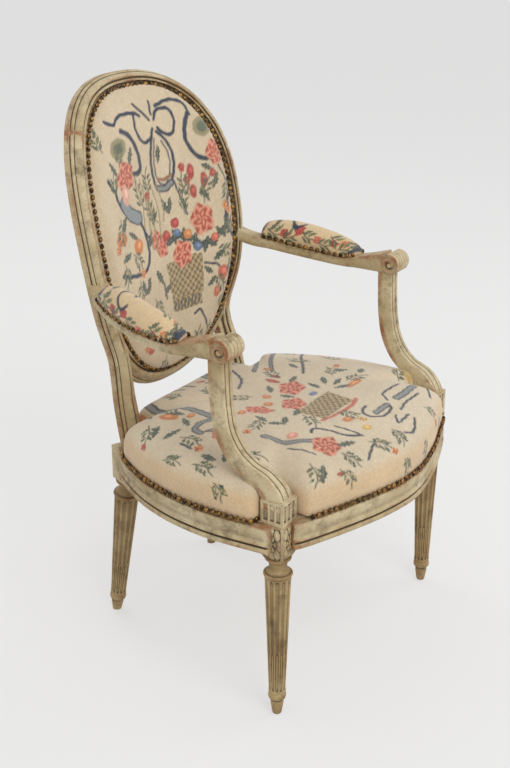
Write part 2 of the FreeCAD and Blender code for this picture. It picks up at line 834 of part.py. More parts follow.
# Glue blocks in the seat corners.
def glue_block(x, y, sx, sy):
    corner = vec(x, y, glue_z)
    a = corner + vec(sx * glue_leg, 0, 0)
    b = corner + vec(0, sy * glue_leg, 0)
    return face([corner, a, b]).extrude(vec(0, 0, glue_h))


front_block_box = box(front_leg_x - half, 400, -400, front_leg_y + half, 0, 600)
corner_front = glue_block(front_leg_x + half - 4.0, front_leg_y - half - 4.0, -1.35, 1.35)
corner_rear = glue_block(rear_leg_x + rear_half, rear_leg_y + rear_half - 8.0, -1.25, -1.25)
block_front = main_solid(corner_front.cut([front_rail, side_rail, front_block_box]))
block_rear = main_solid(corner_rear.cut([back_rail, side_rail, rear_post, stile]))

solids = {
    "front_leg_left": front_leg,
    "front_leg_right": mirrored(front_leg),
    "rear_leg_left": rear_leg,
    "rear_leg_right": mirrored(rear_leg),
    "crest_rail": crest,
    "lower_back_rail": low_back,
    "crest_pins": Part.makeCompound([pin, mirrored(pin)]),
    "front_seat_rail": front_rail,
    "side_seat_rail_left": side_rail,
    "side_seat_rail_right": mirrored(side_rail),
    "back_seat_rail": back_rail,
    "arm_left": arm,
    "arm_right": mirrored(arm),
    "arm_support_left": support,
    "arm_support_right": mirrored(support),
    "front_corner_blocks": Part.makeCompound([block_front, mirrored(block_front)]),
    "rear_corner_blocks": Part.makeCompound([block_rear, mirrored(block_rear)]),
    "seat_webbing": Part.makeCompound(straps),
    "seat_hessian": seat_hessian,
    "seat_pad": seat_pad,
    "back_hessian": back_hessian,
    "back_pad": back_pad,
    "back_outside_cover": outside_cover,
    "arm_pad_left": arm_pad,
    "arm_pad_right": mirrored(arm_pad),
}

# The origin goes under the middle of the chair.
reach = Part.makeCompound(list(solids.values())).BoundBox
shift = vec(0, -(reach.YMin + reach.YMax) / 2, 0)
os.makedirs("parts", exist_ok=True)
for name, shape in solids.items():
    moved = shape.copy()
    moved.translate(shift)
    count = len(moved.Solids)
    print(name, count, moved.isValid(), round(moved.Volume / 1000.0, 1), "cm3")
    moved.exportStep("parts/" + name + ".step")
print("size", round(reach.XLength, 1), round(reach.YLength, 1), round(reach.ZLength, 1), "shift", round(shift.y, 2))
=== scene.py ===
import math

import bmesh
import bpy
import numpy as np
from mathutils import Matrix, Vector


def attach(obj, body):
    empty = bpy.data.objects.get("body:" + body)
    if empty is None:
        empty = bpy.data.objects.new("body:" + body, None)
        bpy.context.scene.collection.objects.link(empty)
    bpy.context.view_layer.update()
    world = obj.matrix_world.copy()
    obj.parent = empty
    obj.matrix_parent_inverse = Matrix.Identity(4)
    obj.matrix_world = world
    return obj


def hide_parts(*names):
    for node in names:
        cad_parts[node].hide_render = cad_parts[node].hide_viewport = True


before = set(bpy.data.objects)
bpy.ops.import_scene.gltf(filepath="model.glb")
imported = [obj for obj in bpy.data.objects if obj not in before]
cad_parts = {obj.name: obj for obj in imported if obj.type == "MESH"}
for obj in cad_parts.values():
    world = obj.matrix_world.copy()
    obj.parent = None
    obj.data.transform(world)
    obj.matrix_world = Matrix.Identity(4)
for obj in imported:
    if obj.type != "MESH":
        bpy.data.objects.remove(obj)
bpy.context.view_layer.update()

# Front legs. Each is one turned beech leg with twelve stopped flutes, a ring and a
# top-shaped foot; the square block above the neck is carved with a leafy rosette.
# Old ochre-cream paint, with dirt and painted shade in the hollows, rubbed to the red ground at the edges.
mid_y = 12.22                      # the middle of the box, behind the drawing's own zero
front_leg_x, front_leg_y = 250.5, -187.5
block_low, rail_high = 283, 344


def at(p):
    return Vector((p[0], p[1] - mid_y, p[2])) / 1000.0


def material(name, rough):
    made = bpy.data.materials.new(name)
    made.use_nodes = True
    shader = made.node_tree.nodes["Principled BSDF"]
    shader.inputs["Roughness"].default_value = rough
    return made, made.node_tree, shader


def node(tree, kind, **values):
    made = tree.nodes.new(kind)
    for key, value in values.items():
        key = key.replace("_", " ")
        if hasattr(value, "node"):
            tree.links.new(value, made.inputs[key])
        else:
            made.inputs[key].default_value = value
    return made


def blend_colour(tree, share, a, b):
    mix = tree.nodes.new("ShaderNodeMix")
    mix.data_type = "RGBA"
    for socket, value in ((mix.inputs[0], share), (mix.inputs[6], a), (mix.inputs[7], b)):
        if hasattr(value, "node"):
            tree.links.new(value, socket)
        else:
            socket.default_value = value
    return mix.outputs[2]


def between(tree, value, low, high, to_low=0.0, to_high=1.0):
    made = node(tree, "ShaderNodeMapRange", Value=value, From_Min=low, From_Max=high, To_Min=to_low,
                To_Max=to_high)
    return made.outputs[0]


def noise(tree, where, scale, detail=4.0, rough=0.6):
    return node(tree, "ShaderNodeTexNoise", Vector=where, Scale=scale, Detail=detail,
                Roughness=rough).outputs[0]


def maths(tree, kind, a, b):
    made = tree.nodes.new("ShaderNodeMath")
    made.operation = kind
    for socket, value in ((made.inputs[0], a), (made.inputs[1], b)):
        if hasattr(value, "node"):
            tree.links.new(value, socket)
        else:
            socket.default_value = value
    return made.outputs[0]


def bump(tree, shader, height, strength, distance):
    made = node(tree, "ShaderNodeBump", Height=height, Strength=strength, Distance=distance)
    tree.links.new(made.outputs[0], shader.inputs["Normal"])


def linear(r, g, b):
    # A colour as it is seen, turned into the shader's own light values.
    shades = (c / 255.0 for c in (r, g, b))
    return tuple(c / 12.92 if c < 10.3 / 255.0 else ((c + 0.055) / 1.055) ** 2.4 for c in shades) + (1.0,)


def old_paint(name, light, deep, dirt_and_shade, wear_share):
    made, tree, shader = material(name, 0.62)
    where = tree.nodes.new("ShaderNodeTexCoord").outputs["Object"]
    fold = node(tree, "ShaderNodeAttribute")
    fold.attribute_name = "fold"
    fold = fold.outputs["Fac"]
    patches = between(tree, noise(tree, where, 11.0, 5.0), 0.38, 0.62)
    specks = noise(tree, where, 150.0, 4.0, 0.7)
    colour = blend_colour(tree, patches, light, deep)
    cracks = node(tree, "ShaderNodeTexVoronoi", Vector=where, Scale=140.0)
    cracks.feature = "DISTANCE_TO_EDGE"
    crack = between(tree, cracks.outputs["Distance"], 0.0, 0.05, 0.5, 0.0)
    crack = maths(tree, "MULTIPLY", crack, between(tree, noise(tree, where, 30.0), 0.45, 0.65))
    colour = blend_colour(tree, crack, colour, dirt_and_shade)
    smears = between(tree, noise(tree, where, 36.0, 8.0, 0.72), 0.50, 0.68, 0.0, 0.6)
    colour = blend_colour(tree, smears, colour, dirt_and_shade)
    # Hollows turn toward the dark colour: dirt gathered there, and painted shade where the recesses fall
    # into shadow.
    hollow = between(tree, maths(tree, "ADD", fold, maths(tree, "MULTIPLY", specks, 0.06)), 0.04, 0.15,
                     0.0, 0.95)
    colour = blend_colour(tree, hollow, colour, dirt_and_shade)
    edge = maths(tree, "SUBTRACT", maths(tree, "MULTIPLY", fold, -1.0),
                 maths(tree, "MULTIPLY", specks, 0.34))
    edge = between(tree, edge, -0.06, 0.04, 0.0, wear_share)
    edge = maths(tree, "MULTIPLY", edge, between(tree, noise(tree, where, 17.0), 0.42, 0.6))
    colour = blend_colour(tree, edge, colour, linear(150, 84, 44))
    tree.links.new(colour, shader.inputs["Base Color"])
    tree.links.new(between(tree, smears, 0.0, 0.65, 0.55, 0.78), shader.inputs["Roughness"])
    height = maths(tree, "SUBTRACT", specks, crack)
    bump(tree, shader, height, 0.35, 0.0006)
    return made


leg_paint = old_paint("leg_paint", linear(184, 160, 112), linear(148, 120, 76), linear(58, 42, 26), 0.6)
frame_paint = old_paint("frame_paint", linear(208, 192, 154), linear(176, 154, 112), linear(72, 54, 34),
                        0.85)


def mark_folds(bm):
    # Positive in a hollow, negative on an edge: hollows get dirt and painted shade, edges wear.
    bm.normal_update()
    first = [sum((e.other_vert(v).co - v.co).normalized().dot(v.normal) for e in v.link_edges)
             / max(1, len(v.link_edges)) for v in bm.verts]
    layer = bm.verts.layers.float.new("fold")
    bm.verts.index_update()
    for v in bm.verts:
        near = [first[e.other_vert(v).index] for e in v.link_edges]
        v[layer] = 0.6 * first[v.index] + 0.4 * sum(near) / max(1, len(near))


def make_piece(bm, name, finish, nodes=(), sharp=40.0, weld=0.00002):
    bmesh.ops.remove_doubles(bm, verts=bm.verts, dist=weld)
    bmesh.ops.recalc_face_normals(bm, faces=bm.faces)
    mark_folds(bm)
    mesh = bpy.data.meshes.new(name)
    bm.to_mesh(mesh)
    bm.free()
    mesh.materials.append(finish)
    for face in mesh.polygons:
        face.use_smooth = True
    if sharp:
        mesh.set_sharp_from_angle(angle=math.radians(sharp))
    made = bpy.data.objects.new(name, mesh)
    bpy.context.scene.collection.objects.link(made)
    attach(made, "root")
    if nodes:
        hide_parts(*nodes)
    return made


def painted(bm, name, *nodes, sharp=40.0):
    return make_piece(bm, name, frame_paint, nodes, sharp)


def on_side(side, points):
    # The sitter's left is drawn; the right side is its mirror image.
    return [Vector((side * q.x, q.y, q.z)) for q in points]


def turn(outline, steps):
    bm = bmesh.new()
    line = [bm.verts.new((r, 0, z)) for r, z in outline]
    edges = [bm.edges.new(pair) for pair in zip(line, line[1:])]
    bmesh.ops.spin(bm, geom=line + edges, cent=(0, 0, 0), axis=(0, 0, 1), angle=math.tau,
                   steps=steps, use_merge=True, use_duplicate=False)
    bmesh.ops.remove_doubles(bm, verts=bm.verts, dist=0.01)
    return bm


def rounded(points, per_side=6):
    # A smooth line through the given points.
    pts = [points[0]] + list(points) + [points[-1]]
    line = []
    for a, b, c, d in zip(pts, pts[1:], pts[2:], pts[3:]):
        for i in range(per_side):
            t = i / per_side
            line.append(tuple(0.5 * (2 * q + (r - p) * t + (2 * p - 5 * q + 4 * r - s) * t * t
                                     + (3 * q - p - 3 * r + s) * t ** 3) for p, q, r, s in zip(a, b, c, d)))
    return line + [tuple(points[-1])]


both_sides = ((1, "left"), (-1, "right"))


def turned_leg(lift):
    top = 258.0 + lift
    outline = [(0.01, 0), (6.5, 0), (7.5, 1.5)] + rounded([(8.2, 6), (10.5, 20), (10.5, 24)], 3)
    outline += [(10.2, 25.5), (10.3, 27.2)]
    outline += rounded([(11, 28), (13.6, 30), (14.5, 34.5), (13.6, 39), (11.6, 41)], 4)
    shaft = [41, 44, 46, 48, 51, 54, 60, 66, 72, 80, 88, 96, 104, 110, 113, 114.5, 116, 117.5, 119, 122,
             130]
    shaft += [140 + (top - 160) * i / 12 for i in range(1, 12)]
    shaft += [top - 18, top - 15, top - 13, top - 11.5, top - 10, top - 8.5, top - 7, top - 5.5]
    outline += [(13.25 + (21.0 - 13.25) * (z - 41) / (top - 46), z) for z in shaft]
    outline += [(22.4, top - 4.6), (23, top - 3.4), (23, top - 1.6), (22.4, top - 0.4), (20.5, top)]
    outline += rounded([(18, top + 3), (14.6, top + 8), (14, top + 13), (16, top + 19)], 4)
    outline += [(19, top + 22), (20.5, top + 23.5), (20.8, top + 24.5), (20.8, top + 27), (0.01, top + 27)]
    bm = turn(outline, 144)
    for v in bm.verts:
        z = v.co.z
        if not 43 < z < top - 5.6:
            continue
        a = math.degrees(math.atan2(v.co.y, v.co.x)) % 30.0
        a = min(a, 30.0 - a)
        half = 10.2
        if z > top - 16:
            half *= math.sqrt(max(0.0, 1.0 - ((z - top + 16) / 7.5) ** 2))
        if z < 51:
            half *= math.sqrt(max(0.0, 1.0 - ((51 - z) / 7.0) ** 2))
        depth = 2.5 * math.sqrt(max(0.0, 1.0 - (a / half) ** 2)) if a < half else 0.0
        if z < 114:
            bead = 1.9 * math.sqrt(max(0.0, 1.0 - (a / 6.4) ** 2)) if a < 6.4 else 0.0
            depth -= bead * min(1.0, (114 - z) / 3.0) * (1.0 if z > 52 else 0.4)
        r = math.hypot(v.co.x, v.co.y)
        v.co.x *= (r - depth) / r
        v.co.y *= (r - depth) / r
    return bm


carving = 3.6                      # how deep the carver went


def petals(u, v):
    # Height of the carved rosette and leaves on a face that runs from -1 to 1.
    r = math.hypot(u, v)
    a = math.atan2(v, u)
    rim = 1.0 if max(abs(u), abs(v)) > 0.90 else 0.0
    eye = max(0.0, 1.0 - (r / 0.20) ** 2)
    inner = math.sin(math.pi * r / 0.52) * (0.55 + 0.45 * math.cos(6 * a)) if r < 0.52 else 0.0
    outer = 0.0
    if 0.42 < r < 1.15:
        outer = math.sin(math.pi * min(1.0, (r - 0.42) / 0.70)) * (0.5 + 0.5 * abs(math.cos(4 * a))) * 0.9
        outer -= 0.35 * max(0.0, math.cos(16 * a)) * (r - 0.42)
    return max(rim * 0.8, eye, inner * 0.9, outer)


def carved_block(x, y, size, low, high, taper):
    bm = bmesh.new()
    bmesh.ops.create_cube(bm, size=1.0)
    bmesh.ops.subdivide_edges(bm, edges=bm.edges, cuts=31, use_grid_fill=True)
    for v in bm.verts:
        u, w, h = v.co.x * 2, v.co.y * 2, v.co.z * 2
        on = [abs(abs(k) - 1.0) < 1e-4 for k in (u, w, h)]
        z = low + (high - low) * (h + 1) / 2
        lift = 0.0
        if on[0] and not on[1] and not on[2]:
            lift = petals(w, h)
        if on[1] and not on[0] and not on[2]:
            lift = petals(u, h)
        half = size / 2 - carving
        if z < low + taper:
            half -= 6.0 * (1.0 - (z - low) / taper) ** 1.6
        px, py = u * half, w * half
        if on[0]:
            px += math.copysign(carving * lift, u)
        if on[1]:
            py += math.copysign(carving * lift, w)
        v.co = at(Vector((px, py, 0)) + Vector((x, y, z)))
    return bm


def placed(bm, matrix):
    for v in bm.verts:
        v.co = at(matrix @ v.co)
    return bm


for side, mark in both_sides:
    leg = placed(turned_leg(0.0), Matrix.Translation((side * front_leg_x, front_leg_y, 0)))
    make_piece(leg, "front_leg_turning_" + mark, leg_paint, ("front_leg_" + mark,))
    block = carved_block(side * front_leg_x, front_leg_y, 45, block_low, rail_high, 14)
    painted(block, "front_leg_carving_" + mark, "front_leg_" + mark, sharp=0)

# Rear legs. The same turning, raked back and in, and cut flat on the floor; the plain
# square block above each one takes the seat rails and runs on up into the stile.
rear_leg_x, rear_leg_y, rear_foot_x, rear_foot_y = 166, 171, 147.7, 224.3
for side, mark in both_sides:
    leg = turned_leg(5.65)
    rake_top = Vector((side * rear_leg_x, rear_leg_y, block_low))
    rake = rake_top - Vector((side * rear_foot_x, rear_foot_y, 0))
    tilt = Vector((0, 0, 1)).rotation_difference(rake).to_matrix().to_4x4()
    start = rake_top - rake.normalized() * (rake.length + 3.0)
    leg = placed(leg, Matrix.Translation(start) @ tilt)
    bmesh.ops.bisect_plane(leg, geom=leg.verts[:] + leg.edges[:] + leg.faces[:], plane_co=(0, 0, 0),
                           plane_no=(0, 0, -1), clear_outer=True)
    bmesh.ops.holes_fill(leg, edges=[e for e in leg.edges if e.is_boundary])
    make_piece(leg, "rear_leg_turning_" + mark, leg_paint, ("rear_leg_" + mark,))
    block = bmesh.new()
    place = Matrix.Translation((side * rear_leg_x / 1000, (rear_leg_y - mid_y) / 1000, 0.3135))
    turned = Matrix.Rotation(side * math.radians(25), 4, "Z")
    bmesh.ops.create_cube(block, size=1.0, matrix=place @ turned
                          @ Matrix.Diagonal((0.0396, 0.0396, 0.061, 1)))
    bmesh.ops.bevel(block, geom=block.edges[:], offset=0.0015, segments=2, profile=0.5, affect="EDGES",
                    material=-1)
    bmesh.ops.subdivide_edges(block, edges=block.edges, cuts=3, use_grid_fill=True)
    painted(block, "rear_leg_block_" + mark, "rear_leg_" + mark)


# Oval back. A crest rail, two stiles that are one piece with the rear legs, and a lower
# rail, all worked with the same moulding of fillet, hollow and bead, jointed with pins.
oval_w, oval_z, oval_rise, oval_drop = 208.5, 715.0, 223.0, 307.0
mould_w, frame_d = 20.0, 30.0
back_slope = math.tan(math.radians(11.8))


def low_share(z):
    return max(0.0, (520.0 - z) / 176.0)


def back_face(x, z):
    fall = max(0.0, oval_z - z) / oval_drop
    return (239.0 + back_slope * (z - oval_z) + 24.0 * fall * fall - 53.5 * (x / oval_w) ** 2
            - 17.0 * low_share(z) ** 1.5)


def back_front(x, z):
    turned = 1.0 if z >= 482 else max(0.3, 1.0 - 0.7 * (482 - z) / 138)
    fall = max(0.0, oval_z - z) / oval_drop
    dz = back_slope - 48.0 * fall / oval_drop + 25.5 * low_share(z) ** 0.5 / 176.0
    return Vector((-107.0 * x / oval_w ** 2 * turned, -1.0, dz)).normalized()


def oval(angle, inset=0.0):
    c, s = math.cos(math.radians(angle)), math.sin(math.radians(angle))
    high, power = (oval_rise, 2.45) if s >= 0 else (oval_drop, 2.2)
    r = ((abs(c) / (oval_w - inset)) ** power + (abs(s) / (high - inset)) ** power) ** (-1.0 / power)
    return r * c, oval_z + r * s


def moulding(m):
    d, back = frame_d, -26.0
    return [(-m - 12, back), (-12, back), (-12, -d), (-3, -d), (-0.9, -d + 0.9), (0, -d + 3),
            (0, -0.7 * d), (-1.7, -0.68 * d), (-2.6, -0.64 * d), (-1.4, -0.6 * d), (-1.2, -0.55 * d),
            (-1.8, -0.5 * d), (-3, -0.47 * d), (-5.2, -0.44 * d), (-5.0, -0.41 * d),
            (-0.29 * m, -0.27 * d), (-0.36 * m, -0.17 * d), (-0.47 * m, -0.09 * d),
            (-0.6 * m, -0.05 * d), (-0.64 * m, -0.1 * d), (-0.71 * m, -0.15 * d),
            (-0.78 * m, -0.13 * d), (-0.81 * m, -0.06 * d), (-0.85 * m, 0.0), (-0.91 * m, 0.02 * d),
            (-0.97 * m, 0.0), (-m, -0.05 * d), (-m, -5), (-m - 12, -5)]


def back_ring(x, z, tx, tz, m, inward=0.0):
    dy = (back_face(x + tx, z + tz) - back_face(x - tx, z - tz)) / 2
    along = Vector((tx, dy, tz)).normalized()
    front = back_front(x, z)
    outward = front.cross(along).normalized()
    front = along.cross(outward).normalized()
    start = Vector((x, back_face(x, z), z)) - outward * inward
    return [start + outward * a + front * b for a, b in moulding(m)]


def sweep(rings):
    # A skin drawn from ring to ring, closed at both ends.
    bm = bmesh.new()
    loop = [bm.verts.new(at(p)) for p in rings[0]]
    edges = [bm.edges.new((loop[i - 1], loop[i])) for i in range(len(loop))]
    bm.faces.new(loop)
    for ring in rings[1:]:
        out = bmesh.ops.extrude_edge_only(bm, edges=edges)["geom"]
        fresh = {g for g in out if isinstance(g, bmesh.types.BMVert)}
        edges = [g for g in out if isinstance(g, bmesh.types.BMEdge) and set(g.verts) <= fresh]
        loop = [next(e.other_vert(v) for e in v.link_edges if e.other_vert(v) in fresh) for v in loop]
        for v, p in zip(loop, ring):
            v.co = at(p)
    bm.faces.new(loop)
    return bm


def oval_rings(angles, inward=0.0):
    rings = []
    for a in angles:
        (x, z), (x0, z0), (x1, z1) = oval(a), oval(a + 0.5), oval(a - 0.5)
        run = math.hypot(x1 - x0, z1 - z0)
        m = mould_w + 11.0 * max(0.0, -math.sin(math.radians(a))) ** 4
        rings.append(back_ring(x, z, (x1 - x0) / run, (z1 - z0) / run, m, inward))
    return rings


crest = sweep(oval_rings([137.0 - 94.0 * i / 64 for i in range(65)]))
painted(crest, "crest_rail_moulding", "crest_rail")
low_rail = sweep(oval_rings([-43.5 - 93.0 * i / 64 for i in range(65)], inward=0.5))
painted(low_rail, "lower_rail_moulding", "lower_back_rail")


def along_line(points, count):
    # Evenly spaced places on the smooth line, each with its share, point and direction.
    line = [Vector(p) for p in rounded(points, 16)]
    far = [0.0]
    for a, b in zip(line, line[1:]):
        far.append(far[-1] + (b - a).length)
    out = []
    for i in range(count):
        want = far[-1] * i / (count - 1)
        k = min(len(line) - 2, max(0, int(np.searchsorted(far, want)) - 1))
        step = far[k + 1] - far[k]
        share = (want - far[k]) / step if step > 1e-9 else 0.0
        out.append((i / (count - 1), line[k].lerp(line[k + 1], share),
                    (line[k + 1] - line[k]).normalized()))
    return out


stile_line = [oval(43.0 - 83.0 * i / 9) for i in range(10)]
stile_line += [(163.5, 506), (161, 482), (165.5, 456), (171.8, 428), (176, 387), (177, 344), (177, 330)]
for side, mark in both_sides:
    rings = []
    for t, p, d in along_line([(x, 0, z) for x, z in stile_line], 110):
        run = math.hypot(d.x, d.z)
        m = mould_w + 8.0 * min(1.0, max(0.0, (595 - p.z) / 150))
        rings.append(on_side(side, back_ring(p.x, p.z, d.x / run, d.z / run, m)))
    painted(sweep(rings), "stile_" + mark, "rear_leg_" + mark)


# Crest pins, glue blocks and back rail. These keep the drawing's own shapes: bare beech
# inside the frame, and the paint of the frame on the plain rail behind the seat.
def dress(name, finish):
    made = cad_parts[name]
    if not made.data.materials:
        made.data.materials.append(finish)
    for place in made.material_slots:
        place.material = finish


bare_wood, tree, shader = material("bare_wood", 0.75)
where = tree.nodes.new("ShaderNodeTexCoord").outputs["Object"]
grain = node(tree, "ShaderNodeTexWave", Vector=where, Scale=26.0, Distortion=7.0, Detail=3.0).outputs[1]
tree.links.new(blend_colour(tree, grain, linear(148, 104, 66), linear(108, 72, 42)),
               shader.inputs["Base Color"])
bump(tree, shader, grain, 0.25, 0.0004)
for name in ("crest_pins", "front_corner_blocks", "rear_corner_blocks"):
    dress(name, bare_wood)
dress("back_seat_rail", frame_paint)


# Seat rails. Bowed front and side rails of painted beech, with a bead and a dark groove
# along the bottom edge; they are tenoned into the square blocks of the legs.
def rail_rings(line, count):
    profile = [(-32, 301), (-3, 301), (-0.9, 302.2), (0.3, 305), (-0.6, 308), (-2, 309), (-4.6, 310),
               (-4.6, 312), (-1.5, 314), (-2.6, 319), (-3.0, 324), (-2.2, 330), (-0.5, 337), (0, 340),
               (-0.4, 343), (-1.5, 344), (-32, 344)]
    rings = []
    for t, p, d in along_line([(x, y, 0) for x, y in line], count):
        out = Vector((d.y, -d.x, 0)).normalized()
        rings.append([Vector((p.x, p.y, 0)) + out * n + Vector((0, 0, z)) for n, z in profile])
    return rings


front_line = [(-250.5, -216.5), (-228, -228.5), (-160, -254.1), (-80, -278.5), (0, -289.5),
              (80, -278.5), (160, -254.1), (228, -228.5), (250.5, -216.5)]
painted(sweep(rail_rings(front_line, 90)), "front_rail_moulding", "front_seat_rail")
side_line = [(286, -190), (293, -105), (290.5, -50), (280, 8), (256.5, 74), (213, 148), (178, 180)]
for side, mark in both_sides:
    rings = [on_side(side, ring) for ring in rail_rings(side_line, 80)]
    painted(sweep(rings), "side_rail_moulding_" + mark, "side_seat_rail_" + mark)


# Arms and their supports. The support grows from a fluted square base, leans back in an
# S curve and carries the arm, which ends in a reeded volute with a turned eye.
arm_line = [(196, 193, 629), (214, 166, 616), (229, 139, 610), (242, 108, 603.5), (257, 55, 595.5),
            (264, 0, 591.5), (263, -30, 595), (260, -60, 599.5), (259, -87, 604)]
post_line = [(251, -185.5, 368), (251.5, -185.5, 386), (253.5, -168.5, 406), (255.5, -141.5, 420),
             (257.5, -116.5, 442), (259, -99.5, 474), (259, -92.5, 512), (259, -90, 550),
             (259, -89, 596)]
volute_x, volute_y, volute_z = 259, -101, 604


def reeds(x):
    return 0.9 * abs(math.sin(math.pi * (x + 22) / 8.8))


for side, mark in both_sides:
    rings = []
    for t, p, d in along_line(arm_line, 70):
        a = (36 - 4 * max(0.0, 1 - t / 0.2)) / 2
        b = (18 + 4 * max(0.0, 1 - t / 0.2) + 18 * max(0.0, (t - 0.72) / 0.28) ** 1.4) / 2
        h = 2 * b
        across = d.cross(Vector((0, 0, 1))).normalized()
        up = across.cross(d).normalized()
        shape = [(-a, b - 1), (-a, 0), (-a, -b + 0.45 * h), (-0.95 * a, -b + 0.25 * h),
                 (-0.86 * a, -b + 0.12 * h), (-0.72 * a, -b + 0.03 * h), (-0.6 * a, -b), (-0.2 * a, -b),
                 (-0.12 * a, -b + 1.2), (0, -b + 1.6), (0.12 * a, -b + 1.2), (0.2 * a, -b),
                 (0.6 * a, -b), (0.72 * a, -b + 0.03 * h), (0.86 * a, -b + 0.12 * h),
                 (0.95 * a, -b + 0.25 * h), (a, -b + 0.45 * h), (a, 0), (a, b - 1), (a - 1, b),
                 (-a + 1, b)]
        rings.append(on_side(side, (p + across * n + up * m for n, m in shape)))
    painted(sweep(rings), "arm_rail_" + mark, "arm_" + mark)

    scroll = []
    for i in range(121):
        turned = 1.35 * i / 120
        angle = math.radians(100) - math.tau * turned
        r = 21 - 15.5 * turned / 1.35 * 0.92
        thick = 6 * (1 - 0.45 * i / 120)
        ring = []
        over = [-22 + 44 * k / 20 for k in range(21)]
        shape = [(x, r - 0.9 + reeds(x)) for x in over] + [(22, r - thick), (-22, r - thick)]
        for x, rr in shape:
            ring.append(Vector((side * (volute_x + x), volute_y - rr * math.cos(angle),
                                volute_z + rr * math.sin(angle))))
        scroll.append(ring)
    painted(sweep(scroll), "volute_" + mark, "arm_" + mark)
    eye = turn([(0.01, -21.5), (3.6, -21.5), (4.6, -20.5), (4.6, -19.2), (17.4, -18.6), (17.4, 18.6),
                (4.6, 19.2), (4.6, 20.5), (3.6, 21.5), (0.01, 21.5)], 48)
    eye = placed(eye, Matrix.Translation((side * volute_x, volute_y, volute_z))
                 @ Matrix.Rotation(math.radians(90), 4, "Y"))
    painted(eye, "volute_eye_" + mark, "arm_" + mark)

    rings = []
    for t, p, d in along_line(post_line, 70):
        low = max(0.0, 1 - t / 0.28)
        a, b = (26 + 10 * low) / 2, (26 + 8 * low) / 2
        forward = d.cross(Vector((1, 0, 0))).normalized()
        if forward.y > 0:
            forward = -forward
        right = Vector((1, 0, 0))
        shape = [(-a, -b), (-a, 0), (-a, b - 2), (-a + 0.7, b - 0.6), (-a + 2, b), (-0.62 * a, b),
                 (-0.52 * a, b - 0.6), (-0.4 * a, b - 2.2), (-0.28 * a, b - 0.6), (-0.18 * a, b),
                 (0.18 * a, b), (0.28 * a, b - 0.6), (0.4 * a, b - 2.2), (0.52 * a, b - 0.6),
                 (0.62 * a, b), (a - 2, b), (a - 0.7, b - 0.6), (a, b - 2), (a, 0), (a, -b)]
        rings.append(on_side(side, (p + right * n + forward * m for n, m in shape)))
    painted(sweep(rings), "arm_post_" + mark, "arm_support_" + mark)

    base = bmesh.new()
    bmesh.ops.create_cube(base, size=1.0)
    bmesh.ops.subdivide_edges(base, edges=base.edges, cuts=29, use_grid_fill=True)
    for v in base.verts:
        u, w, h = v.co * 2
        z = 364 + 20 * h
        drop = 0.0
        if 349.5 < z < 379:
            share = min(1.0, (z - 349.5) / 3, (379 - z) / 3)
            for k, other in ((u, w), (w, u)):
                if abs(abs(other) - 1) < 1e-4 and abs(k) < 0.86:
                    from_flute = ((k * 20 + 17.2) % 11.47 - 5.73) / 4.4
                    drop = max(drop, 2.6 * share ** 0.5 * math.sqrt(max(0.0, 1 - from_flute ** 2)))
        p = Vector((u * 20, w * 20, 0))
        if abs(abs(u) - 1) < 1e-4:
            p.x -= math.copysign(drop, u)
        if abs(abs(w) - 1) < 1e-4:
            p.y -= math.copysign(drop, w)
        v.co = at(p + Vector((side * front_leg_x, front_leg_y, z)))
    painted(base, "support_base_" + mark, "arm_support_" + mark, sharp=0)


# Seat. Webbing and hessian under a stuffed pad, covered with a woven tapestry of roses,
# ribbons and a basket on a beige ground; the cover is drawn down and nailed to the rails.
def weave(name, base=None):
    made, tree, shader = material(name, 0.88)
    where = tree.nodes.new("ShaderNodeTexCoord").outputs["Object"]
    waves = []
    for turned in ((0.0, 0.0, 0.6), (0.0, 0.6, 0.9), (1.2, 0.4, 0.0)):
        mapping = node(tree, "ShaderNodeMapping", Vector=where, Rotation=turned)
        waves.append(node(tree, "ShaderNodeTexWave", Vector=mapping.outputs[0], Scale=210.0,
                          Distortion=0.6).outputs[1])
    threads = maths(tree, "MAXIMUM", waves[0], maths(tree, "MAXIMUM", waves[1], waves[2]))
    flecks = noise(tree, where, 420.0, 2.0, 0.8)
    if base is None:
        drawn = node(tree, "ShaderNodeAttribute")
        drawn.attribute_name = "woven"
        base = drawn.outputs["Color"]
    worn = between(tree, noise(tree, where, 9.0, 6.0, 0.7), 0.4, 0.7, 0.0, 0.22)
    colour = blend_colour(tree, worn, base, linear(150, 132, 104))
    shade = maths(tree, "ADD", maths(tree, "MULTIPLY", threads, 0.12),
                  maths(tree, "MULTIPLY", flecks, 0.22))
    dark = node(tree, "ShaderNodeHueSaturation", Value=between(tree, shade, 0.1, 0.3, 0.84, 1.06),
                Color=colour)
    tree.links.new(dark.outputs[0], shader.inputs["Base Color"])
    shader.inputs["Sheen Weight"].default_value = 0.25
    shader.inputs["Sheen Roughness"].default_value = 0.6
    bump(tree, shader, maths(tree, "ADD", threads, flecks), 0.45, 0.0005)
    return made


tapestry = weave("tapestry_cover")
jute = weave("jute_webbing", linear(150, 120, 80))
sacking = weave("sacking", linear(168, 140, 98))
for name, cloth in (("seat_webbing", jute), ("seat_hessian", sacking), ("back_hessian", sacking)):
    dress(name, cloth)


